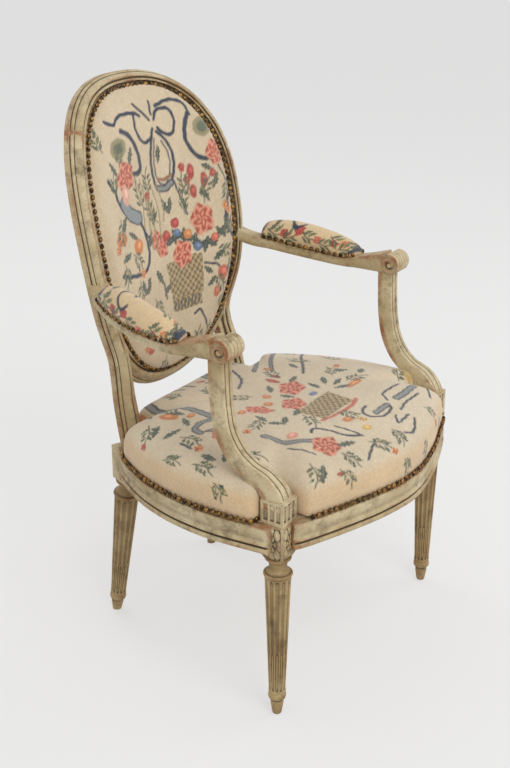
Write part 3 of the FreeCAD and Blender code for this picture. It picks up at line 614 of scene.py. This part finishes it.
def stuffed(bm, name, node_name, voxel, cap):
    # The pad swells a little in its cover, as stuffing does, and is then held.
    bmesh.ops.remove_doubles(bm, verts=bm.verts, dist=0.00005)
    bmesh.ops.recalc_face_normals(bm, faces=bm.faces)
    mesh = bpy.data.meshes.new(name)
    bm.to_mesh(mesh)
    bm.free()
    pad = bpy.data.objects.new(name, mesh)
    bpy.context.scene.collection.objects.link(pad)
    even = pad.modifiers.new("even", "REMESH")
    even.mode = "VOXEL"
    even.voxel_size = voxel
    fixed = bpy.data.meshes.new_from_object(pad.evaluated_get(bpy.context.evaluated_depsgraph_get()))
    pad.modifiers.clear()
    pad.data = fixed
    before = np.empty(len(fixed.vertices) * 3)
    fixed.vertices.foreach_get("co", before)
    swell = pad.modifiers.new("swell", "CLOTH")
    swell.settings.use_pressure = True
    swell.settings.uniform_pressure_force = 3.0
    swell.settings.effector_weights.gravity = 0.0
    swell.point_cache.frame_end = 20
    for step in range(1, 21):
        bpy.context.scene.frame_set(step)
    moved = bpy.data.meshes.new_from_object(pad.evaluated_get(bpy.context.evaluated_depsgraph_get()))
    pad.modifiers.clear()
    after = np.empty_like(before)
    moved.vertices.foreach_get("co", after)
    move = (after - before).reshape(-1, 3)
    far = np.linalg.norm(move, axis=1, keepdims=True)
    move *= np.minimum(1.0, cap / np.maximum(far, 1e-9))
    fixed.vertices.foreach_set("co", (before.reshape(-1, 3) + move).ravel())
    bpy.context.scene.frame_set(1)
    soft = bmesh.new()
    soft.from_mesh(fixed)
    for step in ("ease", "ease", "split", "ease"):
        if step == "split":
            bmesh.ops.subdivide_edges(soft, edges=soft.edges, cuts=1, use_grid_fill=True, smooth=0.0)
        else:
            bmesh.ops.smooth_vert(soft, verts=soft.verts, factor=0.5, use_axis_x=True, use_axis_y=True,
                                  use_axis_z=True)
    soft.to_mesh(fixed)
    soft.free()
    for face in fixed.polygons:
        face.use_smooth = True
    fixed.materials.clear()
    fixed.materials.append(tapestry)
    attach(pad, "root")
    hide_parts(node_name)
    return pad


class Weaver:
    # Draws the tapestry's motifs on a flat place (u, v) in millimetres.
    def __init__(self, mesh, flat, ground):
        co = np.empty(len(mesh.vertices) * 3)
        mesh.vertices.foreach_get("co", co)
        self.mesh = mesh
        self.co = co.reshape(-1, 3) * 1000.0
        u, v = flat(self.co)
        # Hand weaving never runs quite true.
        self.u = u + 1.3 * np.sin(v / 17.0 + u / 31.0) + 0.5 * np.sin(v / 2.9 + u / 9.0)
        self.v = v + 1.3 * np.sin(u / 19.0 - v / 27.0) + 0.5 * np.sin(u / 3.1 + v / 8.0)
        self.colour = np.tile(np.array(linear(*ground)), (len(self.co), 1))

    def put(self, share, rgb):
        share = np.clip(share, 0.0, 1.0)[:, None]
        self.colour = self.colour * (1 - share) + np.array(linear(*rgb)) * share

    def line(self, points, width, rgb):
        pts = np.array(rounded(points, 5), dtype=float)
        near = np.full(len(self.u), 1e9)
        lo, hi = pts.min(axis=0) - width, pts.max(axis=0) + width
        inside = (self.u > lo[0]) & (self.u < hi[0]) & (self.v > lo[1]) & (self.v < hi[1])
        u, v = self.u[inside], self.v[inside]
        best = np.full(len(u), 1e9)
        for a, b in zip(pts, pts[1:]):
            d = b - a
            t = np.clip(((u - a[0]) * d[0] + (v - a[1]) * d[1]) / max(1e-9, d @ d), 0, 1)
            best = np.minimum(best, np.hypot(u - a[0] - t * d[0], v - a[1] - t * d[1]))
        near[inside] = best
        self.put((width / 2 + 0.9 - near) / 1.8, rgb)

    def ribbon(self, points, width, edge=(30, 46, 70), fill=(140, 142, 138)):
        self.line(points, width, edge)
        self.line(points, max(2.0, width - 5.0), fill)

    def place(self, x, y, w, h, turned):
        c, s = math.cos(math.radians(turned)), math.sin(math.radians(turned))
        du, dv = self.u - x, self.v - y
        return (du * c + dv * s) / (w / 2), (-du * s + dv * c) / (h / 2)

    def spot(self, x, y, w, h, rgb, turned=0):
        a, b = self.place(x, y, w, h, turned)
        self.put((1.06 - np.hypot(a, b)) * 6, rgb)

    def fruit(self, x, y, w, h, rgb):
        self.spot(x, y, w, h, rgb)
        self.spot(x + w * 0.1, y + h * 0.08, w * 0.45, h * 0.4, tuple(min(255, c + 34) for c in rgb))

    def rose(self, x, y, w, h, turned=20, pale=(228, 158, 128), mid=(204, 102, 78), deep=(150, 52, 44)):
        a, b = self.place(x, y, w, h, turned)
        r, angle = np.hypot(a, b), np.arctan2(b, a)
        edge = 1.0 + 0.09 * np.cos(5 * angle)
        self.put((edge - r) * 7, mid)
        curl = np.sin(r * 11.0 + 2.2 * np.sin(angle * 5.0 + r * 4.0))
        self.put(np.where(r < edge * 0.97, (curl - 0.25) * 2.2, 0), pale)
        self.put(np.where(r < edge * 0.94, (-curl - 0.62) * 3.0, 0), deep)

    def leaf(self, x, y, length, width, turned, rgb=(56, 74, 72), vein=(128, 132, 92)):
        a, b = self.place(x, y, length, width * 0.86, turned)
        body = (1 - a * a) - np.abs(b) * (1.0 + 0.25 * np.cos(a * 14))
        self.put(np.where(np.abs(a) < 1, body * 5, 0), rgb)
        self.put(np.where(np.abs(a) < 0.8, 1.2 - np.abs(b) * width / 2.4, 0), vein)

    def sprig(self, x, y, length, turned, bud=None, leaves=3):
        c, s = math.cos(math.radians(turned)), math.sin(math.radians(turned))
        bend = 0.16 * length
        stem = [(x, y), (x + c * length / 2 - s * bend, y + s * length / 2 + c * bend),
                (x + c * length, y + s * length)]
        self.line(stem, 2.4, (78, 84, 66))
        for i in range(leaves):
            for way in (-1, 1):
                far = length * (0.25 + 0.6 * i / leaves)
                px, py = x + c * far - s * (way * 7 + bend * 0.6), y + s * far + c * (way * 7 + bend * 0.6)
                self.leaf(px, py, 17, 6.5, turned + way * 42,
                          (48, 66, 62) if (i + way) % 2 else (104, 108, 74))
        if bud:
            self.rose(x + c * length, y + s * length, 17, 15, turned,
                      tuple(min(255, k + 40) for k in bud), bud, (140, 60, 44))

    def basket(self, x, y, w, h, taper=0.86):
        a, b = self.place(x, y, w, h, 0)
        wide = taper + (1 - taper) * (b + 1) / 2
        inside = (np.abs(a) < wide) & (np.abs(b) < 1)
        over = np.sin(a * w / 2 / 2.1) * np.sin(b * h / 2 / 2.0)
        self.put(np.where(inside, 1.0, 0.0), (146, 124, 90))
        self.put(np.where(inside & (over > 0.1), 0.85, 0.0), (196, 172, 126))
        self.put(np.where(inside & (over < -0.45), 0.8, 0.0), (92, 78, 58))

    def finish(self):
        # A little unevenness from thread to thread.
        grid = np.floor(self.co / 2.2)
        mixed = np.abs(np.sin(grid @ np.array([12.9898, 78.233, 37.719])) * 43758.5453) % 1.0
        self.colour[:, :3] *= (0.93 + 0.14 * mixed)[:, None]
        layer = self.mesh.color_attributes.new("woven", "FLOAT_COLOR", "POINT")
        layer.data.foreach_set("color", self.colour.astype(np.float32).ravel())


NAVY, CORAL, ORANGE, RED = (30, 46, 70), (200, 104, 80), (206, 128, 72), (170, 62, 52)
YELLOW, BLUE = (214, 176, 96), (96, 116, 150)
half_outline = [(0, -289.5), (40, -287), (80, -278.5), (120, -268), (160, -254.1), (200, -240),
                (221, -232), (228, -224), (229, -200), (229, -176), (233, -166.5), (250, -165),
                (272, -165), (285, -162), (290.5, -150), (293, -105), (290.5, -50), (286, -20),
                (279.5, 8), (256.5, 74), (222, 135), (208, 147), (194, 142), (184, 137.5), (150, 137),
                (138, 140), (134, 152), (132, 180), (120, 186), (60, 187.5)]
outline = rounded(half_outline + [(0, 187.5)] + [(-x, y) for x, y in reversed(half_outline[1:])]
                  + [(0, -289.5)], 5)[:-1]
section = [(6, 346), (3, 345), (2.6, 348)]
section += rounded([(2, 356.8), (2.5, 373.3), (6, 386.8), (15, 397.2), (35, 407.4), (69, 417),
                    (113, 423.4), (163, 425.7), (185, 426)], 3)


def seat_ring(inset, z):
    ring = []
    for x, y in outline:
        reach = math.hypot(x, y + 50)
        share = max(0.05, (reach - inset) / reach)
        ring.append(Vector((x * share, -50 + (y + 50) * share, z)))
    return ring


seat_rings = [seat_ring(i, 346) for i in (185, 120, 60, 20)] + [seat_ring(i, z) for i, z in section]
seat = stuffed(sweep(seat_rings), "seat_cover", "seat_pad", voxel=0.0053, cap=0.003)


def seat_flat(co):
    # The cover's sides carry the pattern on down from the edge.
    x, y, z = co[:, 0], co[:, 1] + mid_y, co[:, 2]
    down = np.clip(402.0 - z, 0, 60)
    reach = np.hypot(x, y + 50)
    return x * (1 + down / reach), -50 + (y + 50) * (1 + down / reach)


cloth = Weaver(seat.data, seat_flat, (220, 203, 174))
warm = np.clip((398.0 - cloth.co[:, 2]) / 14.0, 0, 1) * 0.85
cloth.put(warm, (218, 186, 142))
for pts, width in (
        ([(262, 92), (230, 67), (170, 35), (100, -15)], 5),
        ([(-20, 40), (10, 55), (30, 75), (55, 105)], 5), ([(115, 150), (152, 162), (157, 177)], 5),
        ([(280, -120), (262, -128), (255, -112)], 4),
        ([(37, -172), (17, -178), (10, -195), (30, -212), (60, -210), (70, -200), (35, -195)], 5),
        ([(85, -190), (100, -172), (135, -168), (165, -168)], 4),
        ([(77, -220), (110, -210), (160, -208)], 4), ([(50, -225), (30, -240), (75, -235)], 4),
        ([(15, -260), (35, -265), (75, -245)], 4), ([(175, -225), (210, -200), (250, -175)], 4),
        ([(-60, -172), (-55, -215)], 4),
        ([(-105, -155), (-90, -150), (-80, -170), (-75, -200), (-55, -220)], 5),
        ([(-95, -255), (-50, -240)], 4), ([(-230, 10), (-237, -15)], 4),
        ([(-182, -27), (-188, -8), (-170, -25)], 4), ([(-167, -150), (-155, -195)], 3),
        ([(-40, 120), (-20, 165), (-5, 200)], 5), ([(-55, 130), (-45, 190)], 5)):
    cloth.line(pts, width, NAVY)
for pts, width in (
        ([(10, 120), (30, 150), (60, 175), (95, 190)], 14), ([(30, -197), (70, -198)], 12),
        ([(105, -194), (180, -190)], 13), ([(-195, -5), (-190, 10), (-170, 15), (-150, 5)], 12),
        ([(-158, -100), (-155, -130), (-150, -145), (-125, -175)], 12),
        ([(-100, 190), (-125, 150), (-130, 100), (-140, 15)], 14),
        ([(160, 125), (110, 92), (60, 65)], 8), ([(190, 105), (135, 75), (80, 40)], 8)):
    cloth.ribbon(pts, width)
cloth.basket(-2, -120, 108, 52)
cloth.line([(-55, -145), (-30, -152), (0, -155), (30, -152), (52, -145)], 7, CORAL)
for x, y, w, h in (
        (30, -33, 62, 48), (-78, -40, 30, 52), (-25, -72, 52, 42), (-122, -192, 52, 46),
        (-187, -35, 34, 26), (275, 180, 40, 34), (-75, 168, 34, 40)):
    cloth.rose(x, y, w, h)
for fruit in (
        (-102, -20, 18, 14, ORANGE), (-27, -20, 16, 16, ORANGE), (-50, -40, 18, 16, ORANGE),
        (30, -78, 18, 14, BLUE), (110, -110, 50, 15, ORANGE), (-130, -137, 24, 18, (222, 150, 128)),
        (40, 12, 14, 30, RED), (60, 20, 12, 24, RED), (227, 82, 18, 16, YELLOW),
        (240, 50, 20, 16, YELLOW), (230, -145, 14, 34, YELLOW), (260, -145, 14, 22, YELLOW),
        (265, -185, 18, 14, RED), (-25, -177, 22, 16, ORANGE), (-28, -212, 20, 14, YELLOW),
        (-148, 178, 26, 20, ORANGE), (-170, 78, 20, 36, ORANGE), (-154, 45, 18, 14, ORANGE),
        (-158, -242, 16, 12, RED), (195, 155, 12, 26, RED), (225, 128, 12, 26, RED)):
    cloth.fruit(*fruit)
for x, y, length, turned in (
        (90, -60, 40, 40), (98, -82, 38, 10), (85, -100, 36, -25), (60, -60, 34, 75),
        (-92, -98, 34, 30), (-110, -92, 30, 120), (-95, -212, 40, -30), (-182, -225, 44, 30),
        (-170, 120, 40, 60), (-212, 71, 34, 20), (-210, 40, 36, -20), (-175, 40, 32, 60),
        (-157, 72, 30, 100), (-245, -55, 34, 80), (-235, -80, 34, 30), (-215, -90, 34, -30),
        (-227, -110, 36, 60), (270, 10, 34, 70), (265, -40, 36, 30), (270, -60, 36, -30),
        (5, -5, 34, 40), (-55, -95, 34, 200), (66, -15, 36, 10), (-108, -62, 34, 70), (240, 70, 30, 20),
        (-5, -45, 30, 110), (292, -100, 40, 20), (120, 20, 30, 60), (150, -60, 34, -40),
        (170, -90, 32, 20)):
    cloth.leaf(x, y, length, 13, turned)
for spray in (
        (120, -60, 50, 20, ORANGE), (110, -95, 48, -20), (60, 10, 52, 60, ORANGE),
        (-40, 0, 46, 120), (-110, -60, 50, 190, ORANGE), (-60, -110, 48, 240),
        (-150, 70, 52, 80, RED), (-215, 20, 50, 250, ORANGE), (-200, 95, 50, 200, RED),
        (-235, -100, 48, 300), (-262, -40, 44, 250), (-270, 20, 40, 270),
        (-180, -200, 50, 220), (-150, -235, 44, 250), (-120, -218, 40, 270),
        (-60, -235, 44, 300, ORANGE), (-15, -150, 44, 280, YELLOW), (0, -240, 40, 250),
        (130, -235, 44, 290, RED), (200, -150, 46, 20), (210, -30, 50, 80, ORANGE),
        (160, 10, 44, 100), (240, 10, 44, 20), (190, 60, 44, 60, YELLOW),
        (110, 110, 44, 120, ORANGE), (0, 80, 50, 100, RED), (-60, 60, 46, 60),
        (-90, 110, 44, 80, ORANGE), (60, 140, 36, 40), (200, 150, 36, 60, RED),
        (290, -60, 40, 280, RED), (285, -180, 36, 300), (60, -290, 40, 250),
        (180, -265, 40, 300, ORANGE), (-30, -300, 36, 280), (-290, -90, 40, 220)):
    cloth.sprig(*spray)
cloth.finish()


# Back pad. Stuffed inside the oval moulding, domed, with the same tapestry: a looped
# ribbon with a bow at the top, roses and tulips, and a woven basket below.
def oval_places(inset, share, count=120):
    places = []
    for i in range(count):
        x, z = oval(360.0 * i / count, inset)
        places.append((x * share, oval_z + (z - oval_z) * share))
    return places


def back_sheet(inset, share, lift):
    ring = []
    for x, z in oval_places(inset, share):
        ring.append(Vector((x, back_face(x, z), z)) + back_front(x, z) * lift)
    return ring


pad_inset = 23.5
shares = [0.06, 0.2, 0.4, 0.6, 0.8, 0.92, 0.98]
pad_rings = [back_sheet(pad_inset, s, -8.0) for s in shares] + [back_sheet(pad_inset, 1.0, -6.0)]
for s in [1.0, 0.995, 0.985, 0.97, 0.95, 0.92, 0.88, 0.83, 0.77, 0.7, 0.6, 0.5, 0.4, 0.3, 0.2, 0.12, 0.06]:
    dome = max(0.0, 1 - (s ** 2.2) ** 2.2) ** 0.6 if s < 1 else 0.0
    pad_rings.append(back_sheet(pad_inset, s, 0.1 + 18.0 * dome))
back_pad = stuffed(sweep(pad_rings), "back_pad_cover", "back_pad", voxel=0.0046, cap=0.003)
cloth = Weaver(back_pad.data, lambda co: (co[:, 0], co[:, 2]), (216, 196, 164))
shade = np.hypot(cloth.u / 185.0, (cloth.v - 690) / 255.0)
cloth.put((shade - 0.82) * 1.4, (186, 160, 122))
grass = (cloth.u > -42) & (cloth.u < 4) & (cloth.v > 655) & (cloth.v < 762)
cloth.put(np.clip(np.sin(cloth.u / 6.0) * 0.5 + 0.5, 0, 1) * grass * 0.35, (176, 158, 122))
for pts, width in (
        ([(-102, 872), (-80, 865), (-60, 875), (-20, 872), (-2, 865)], 6),
        ([(-65, 852), (-45, 840), (-32, 820), (-27, 800), (-32, 782), (-52, 780)], 8),
        ([(-17, 870), (-22, 845), (-10, 825), (10, 827), (22, 842)], 6), ([(-10, 885), (20, 857)], 5),
        ([(30, 885), (28, 865)], 5),
        ([(32, 857), (42, 870), (65, 870), (77, 857), (77, 840), (65, 825), (45, 832), (35, 842)], 6),
        ([(42, 877), (70, 882), (95, 877), (110, 867), (115, 852)], 6),
        ([(110, 852), (100, 835), (95, 810), (110, 785), (130, 775), (140, 782)], 9),
        ([(17, 835), (5, 805), (1, 770), (5, 745), (25, 738), (42, 745), (55, 770), (55, 800),
          (42, 825), (30, 837)], 6),
        ([(20, 826), (12, 800), (9, 772), (13, 753), (26, 747), (37, 753), (47, 774), (46, 798),
          (36, 820)], 3),
        ([(-137, 787), (-122, 767), (-115, 745), (-95, 720), (-70, 710), (-57, 700), (-50, 675),
          (-52, 640), (-70, 620), (-105, 625), (-142, 635)], 7),
        ([(187, 720), (170, 700), (155, 675), (152, 655), (165, 635), (185, 625)], 9),
        ([(155, 760), (165, 740), (180, 725)], 4), ([(-47, 680), (-30, 650)], 4),
        ([(-37, 610), (-20, 590), (-15, 560)], 4), ([(50, 750), (57, 725), (65, 690)], 4),
        ([(90, 600), (120, 590), (130, 575)], 4), ([(55, 515), (70, 518), (80, 500), (85, 485)], 5)):
    cloth.line(pts, width, NAVY)
cloth.ribbon([(-100, 740), (-85, 722), (-62, 712)], 24, fill=(140, 148, 152))
cloth.ribbon([(6, 744), (24, 740), (44, 748)], 12)
cloth.line([(12, 758), (30, 755), (46, 760)], 6, (150, 112, 78))
for x, y, w, h in ((-82, 827, 50, 34), (139, 830, 46, 34)):
    cloth.spot(x, y, w, h, (150, 142, 104))
    cloth.spot(x, y, w * 0.6, h * 0.55, (96, 106, 84))
for x in range(15, 155, 12):
    cloth.leaf(x, 645 + 14 * math.sin(x), 34, 15, (x * 37) % 180, (48, 68, 70))
cloth.basket(40, 584, 96, 70, 0.8)
cloth.basket(38, 540, 76, 22, 1.0)
for x in range(4, 76, 9):
    cloth.line([(x, 533), (x + 3, 548)], 3.4, (52, 72, 76))
for x, y, w, h in ((-80, 780, 62, 46), (155, 782, 46, 46), (97, 675, 56, 54), (-15, 655, 36, 52),
                   (40, 625, 52, 48)):
    cloth.rose(x, y, w, h, 30)
for fruit in (
        (7, 665, 22, 18, RED), (32, 682, 22, 18, RED), (-130, 690, 36, 22, ORANGE),
        (-80, 667, 30, 28, ORANGE), (-90, 752, 22, 34, (226, 170, 148)), (185, 665, 18, 22, ORANGE),
        (90, 760, 16, 28, RED), (117, 740, 16, 28, RED), (90, 725, 16, 26, RED),
        (80, 630, 20, 16, BLUE), (35, 665, 16, 14, BLUE), (132, 572, 28, 26, CORAL),
        (112, 540, 16, 20, CORAL), (-75, 485, 20, 16, RED), (135, 520, 40, 26, (140, 132, 92)),
        (60, 655, 20, 18, ORANGE), (120, 640, 18, 16, CORAL)):
    cloth.fruit(*fruit)
for x, y, length, turned in (
        (22, 800, 34, 80), (-112, 710, 36, 40), (-90, 688, 32, -30), (-122, 660, 34, 15),
        (-70, 589, 30, 20), (-80, 598, 24, 100), (-62, 600, 24, 60), (-38, 668, 34, 60),
        (-28, 602, 34, 120), (-10, 575, 30, 40), (142, 735, 34, 60), (115, 715, 34, 120),
        (14, 712, 32, 115), (26, 712, 32, 65), (127, 605, 36, 20), (97, 585, 30, -40),
        (102, 562, 30, 30), (170, 605, 34, 70), (-52, 808, 34, 60), (-112, 800, 34, 120),
        (176, 806, 32, 60), (128, 760, 32, 150), (62, 712, 30, 120), (-20, 700, 30, 80)):
    cloth.leaf(x, y, length, 13, turned)
for spray in (
        (60, 690, 60, 70, RED), (110, 700, 56, 60, RED), (80, 720, 50, 100, RED),
        (-10, 690, 52, 110, RED), (-40, 720, 60, 100), (-20, 740, 46, 80),
        (-120, 720, 50, 240, ORANGE), (-100, 660, 46, 300, ORANGE), (-130, 650, 40, 260),
        (-90, 610, 50, 250), (-50, 570, 50, 280), (-20, 530, 44, 260, RED),
        (-70, 540, 50, 250, ORANGE), (140, 640, 46, 20), (165, 735, 44, 260, ORANGE),
        (170, 640, 44, 100, ORANGE), (120, 610, 46, 350, CORAL), (110, 570, 44, 300),
        (150, 560, 40, 60), (95, 490, 44, 250, ORANGE), (20, 480, 44, 300),
        (-30, 460, 44, 240, RED), (60, 450, 40, 80), (-100, 560, 40, 200),
        (10, 440, 36, 270, ORANGE), (-130, 830, 44, 100), (-90, 800, 40, 60),
        (150, 850, 36, 100), (-120, 760, 36, 80)):
    cloth.sprig(*spray)
for x, z, tall in ((-36, 650, 120), (-24, 640, 100), (-8, 660, 90), (6, 690, 60), (-48, 690, 80)):
    cloth.line([(x, z), (x + 4, z + tall / 2), (x - 3, z + tall)], 3.0, (150, 136, 98))
cloth.finish()

# Outside back cover: one piece of plain beige cloth, stretched over the back of the oval
# and tacked into a shallow rebate behind the frame.
cover_inset = 13.6
cover_rings = [back_sheet(cover_inset, s, -27.6) for s in (0.05, 0.3, 0.6, 0.85, 1.0)]
for s in (1.0, 0.99, 0.96, 0.92, 0.86, 0.78, 0.68, 0.56, 0.42, 0.28, 0.15, 0.05):
    cover_rings.append(back_sheet(cover_inset, s, -28.6 - 3.6 * (1 - s * s)))
back_cloth = weave("back_cloth", linear(196, 170, 132))
cover = make_piece(sweep(cover_rings), "back_outside_cloth", back_cloth,
                   ("back_outside_cover",), sharp=60)

# Arm pads. Small stuffed pads on the arms, full in the middle and drawn in at both ends,
# in the same tapestry and nailed along both lower edges.
arm_nails = []
for side, mark in both_sides:
    rings = []
    line = along_line(arm_line, 201)
    for i in range(41):
        s = i / 40
        t, p, d = line[int(round((0.155 + 0.645 * (0.5 - 0.5 * math.cos(math.pi * s))) * 200))]
        full = max(0.0, math.sin(math.pi * s))
        h = 46 * (0.16 + 0.84 * full ** 0.75) * (1.06 - 0.32 * t)
        a = 23 * (0.55 + 0.45 * full ** 0.5)
        across = d.cross(Vector((0, 0, 1))).normalized()
        up = across.cross(d).normalized()
        low = p + up * 9.3
        profile = [(-0.86 * a, 0), (0.86 * a, 0), (0.97 * a, 0.12 * h), (1.02 * a, 0.34 * h),
                   (0.97 * a, 0.56 * h), (0.82 * a, 0.76 * h), (0.55 * a, 0.91 * h),
                   (0.2 * a, 0.99 * h), (-0.2 * a, 0.99 * h), (-0.55 * a, 0.91 * h),
                   (-0.82 * a, 0.76 * h), (-0.97 * a, 0.56 * h), (-1.02 * a, 0.34 * h),
                   (-0.97 * a, 0.12 * h)]
        rings.append(on_side(side, (low + across * n + up * m for n, m in profile)))
        if 0 < i < 40:
            for way in (-1, 1):
                place, out = low + across * way * (a * 0.99 + 0.2) + up * 4.6, across * way
                arm_nails.append([side, way] + on_side(side, (place, out)))
    pad = stuffed(sweep(rings), "arm_pad_cover_" + mark, "arm_pad_" + mark, voxel=0.0035, cap=0.002)
    cloth = Weaver(pad.data, lambda co: (co[:, 1], co[:, 2] + 0.35 * np.abs(np.abs(co[:, 0]) - 236)),
                   (222, 194, 150))
    for y, z, turned, bud in (
            (120, 650, 200, RED), (95, 632, 160, RED), (60, 638, 200, CORAL), (30, 622, 170, RED),
            (10, 640, 200, ORANGE), (-10, 618, 150, None), (140, 636, 190, None),
            (-25, 634, 170, CORAL)):
        cloth.sprig(y, z, 30, turned, bud, 2)
    cloth.line([(140, 668), (128, 652), (140, 640), (150, 650)], 4, NAVY)
    cloth.line([(-30, 640), (-38, 626), (-28, 614)], 5, NAVY)
    cloth.line([(86, 655), (74, 645), (62, 652)], 4, NAVY)
    cloth.finish()

# Nails. Domed bronze upholstery nails, set nearly touching round the back pad, along the
# lower edge of the seat cover and along both edges of each arm pad.
bronze, tree, shader = material("bronze_nails", 0.42)
where = tree.nodes.new("ShaderNodeTexCoord").outputs["Object"]
rubbed = between(tree, noise(tree, where, 130.0, 3.0), 0.42, 0.62)
tree.links.new(blend_colour(tree, rubbed, linear(52, 40, 28), linear(158, 118, 62)),
               shader.inputs["Base Color"])
tree.links.new(between(tree, rubbed, 0.0, 1.0, 0.55, 0.34), shader.inputs["Roughness"])
shader.inputs["Metallic"].default_value = 0.8
bump(tree, shader, rubbed, 0.3, 0.0004)
nail_pitch, nail_inset, nail_size = 11.2, 25.5, 4.7


def nail_row(name, places, size=nail_size):
    row = bmesh.new()
    for p, out in places:
        turned = Vector((0, 0, 1)).rotation_difference(out).to_matrix().to_4x4()
        new = bmesh.ops.create_uvsphere(row, u_segments=10, v_segments=6, radius=size / 1000)["verts"]
        bmesh.ops.scale(row, verts=new, vec=(1, 1, 0.62))
        bmesh.ops.transform(row, verts=new, matrix=Matrix.Translation(at(p)) @ turned)
    return make_piece(row, name, bronze, sharp=0)


def evenly(line, pitch):
    out, want, gone = [], pitch / 2, 0.0
    for a, b in zip(line, line[1:]):
        step = (b[0] - a[0]).length
        while step > 0 and gone + step >= want:
            share = (want - gone) / step
            out.append((a[0].lerp(b[0], share), a[1].lerp(b[1], share).normalized()))
            want += pitch
        gone += step
    return out


ring = [(Vector((x, back_face(x, z), z)) + back_front(x, z) * 1.6, back_front(x, z))
        for x, z in oval_places(nail_inset, 1.0, 360)]
nail_row("back_nails", evenly(ring + ring[:1], nail_pitch))
edge = [Vector((p.x, p.y, 350.5)) for p in seat_ring(1.6, 350.5)]
before, after = edge[-1:] + edge[:-1], edge[1:] + edge[:1]
out_of = [(b - a).cross(Vector((0, 0, 1))).normalized() for a, b in zip(before, after)]
out_of = [o if o.dot(p - Vector((0, -50, p.z))) > 0 else -o for o, p in zip(out_of, edge)]
rows = {"front": [], "left": [], "right": []}
for p, o in zip(edge, out_of):
    if p.y < -226 and abs(p.x) < 232:
        rows["front"].append((p, o))
    elif -166 < p.y < 146 and abs(p.x) > 198:
        rows["left" if p.x > 0 else "right"].append((p, o))
rows["front"].sort(key=lambda k: k[0].x)
for name in ("left", "right"):
    rows[name] = sorted((k for k in rows[name] if abs(k[0].x) > 250 or k[0].y > 60), key=lambda k: k[0].y)
for name, row in rows.items():
    nail_row("seat_nails_" + name, evenly(row, nail_pitch))
for side, mark in both_sides:
    places = []
    for way in (-1, 1):
        places += evenly([(p, o) for s, w, p, o in arm_nails if s == side and w == way], 11.4)
    nail_row("arm_nails_" + mark, places, 4.3)

# The plain studio: a pale floor, a pale backdrop, soft lamps, and the camera.
pale, tree, shader = material("pale_floor", 0.9)
shader.inputs["Base Color"].default_value = (0.86, 0.86, 0.85, 1)
glow = node(tree, "ShaderNodeEmission", Color=(0.86, 0.86, 0.86, 1))
half_glow = tree.nodes.new("ShaderNodeMixShader")
seen = tree.nodes.new("ShaderNodeLightPath").outputs["Is Camera Ray"]
tree.links.new(maths(tree, "MULTIPLY", seen, 0.6), half_glow.inputs[0])
tree.links.new(shader.outputs[0], half_glow.inputs[1])
tree.links.new(glow.outputs[0], half_glow.inputs[2])
tree.links.new(half_glow.outputs[0], tree.nodes["Material Output"].inputs["Surface"])
bm = bmesh.new()
bmesh.ops.create_grid(bm, x_segments=1, y_segments=1, size=12.0)
bmesh.ops.translate(bm, verts=bm.verts, vec=(0, 0, -0.0005))
mesh = bpy.data.meshes.new("floor")
bm.to_mesh(mesh)
bm.free()
mesh.materials.append(pale)
floor = bpy.data.objects.new("floor", mesh)
bpy.context.scene.collection.objects.link(floor)
world = bpy.data.worlds.new("studio")
bpy.context.scene.world = world
world.use_nodes = True
tree = world.node_tree
sky = tree.nodes["Background"]
path = tree.nodes.new("ShaderNodeLightPath")
seen = maths(tree, "MAXIMUM", path.outputs["Is Camera Ray"], path.outputs["Is Glossy Ray"])
tree.links.new(blend_colour(tree, seen, (0.62, 0.62, 0.62, 1), (0.92, 0.92, 0.92, 1)), sky.inputs["Color"])


def lamp(name, where, aim, size, power):
    light = bpy.data.lights.new(name, "AREA")
    light.size = size
    light.energy = power
    made = bpy.data.objects.new(name, light)
    made.location = where
    made.rotation_euler = (Vector(aim) - Vector(where)).to_track_quat("-Z", "Y").to_euler()
    bpy.context.scene.collection.objects.link(made)


lamp("key_lamp", (-1.2, -2.2, 2.6), (0, 0, 0.4), 1.8, 38)
lamp("side_lamp", (2.4, -1.6, 1.8), (0, 0, 0.5), 2.0, 16)
lamp("rear_lamp", (0.6, 2.4, 2.4), (0, 0, 0.5), 1.8, 14)

camera = bpy.data.cameras.new("camera")
camera.lens = 62.27
camera.sensor_width = 36.0
camera.sensor_fit = "AUTO"
eye = bpy.data.objects.new("camera", camera)
eye.location = (-1.7448, -1.1512, 1.2876)
eye.rotation_euler = (Vector((-0.0117, 0.0013, 0.4399)) - eye.location).to_track_quat("-Z", "Y").to_euler()
bpy.context.scene.collection.objects.link(eye)
bpy.context.scene.camera = eye
bpy.context.scene.view_settings.view_transform = "Standard"
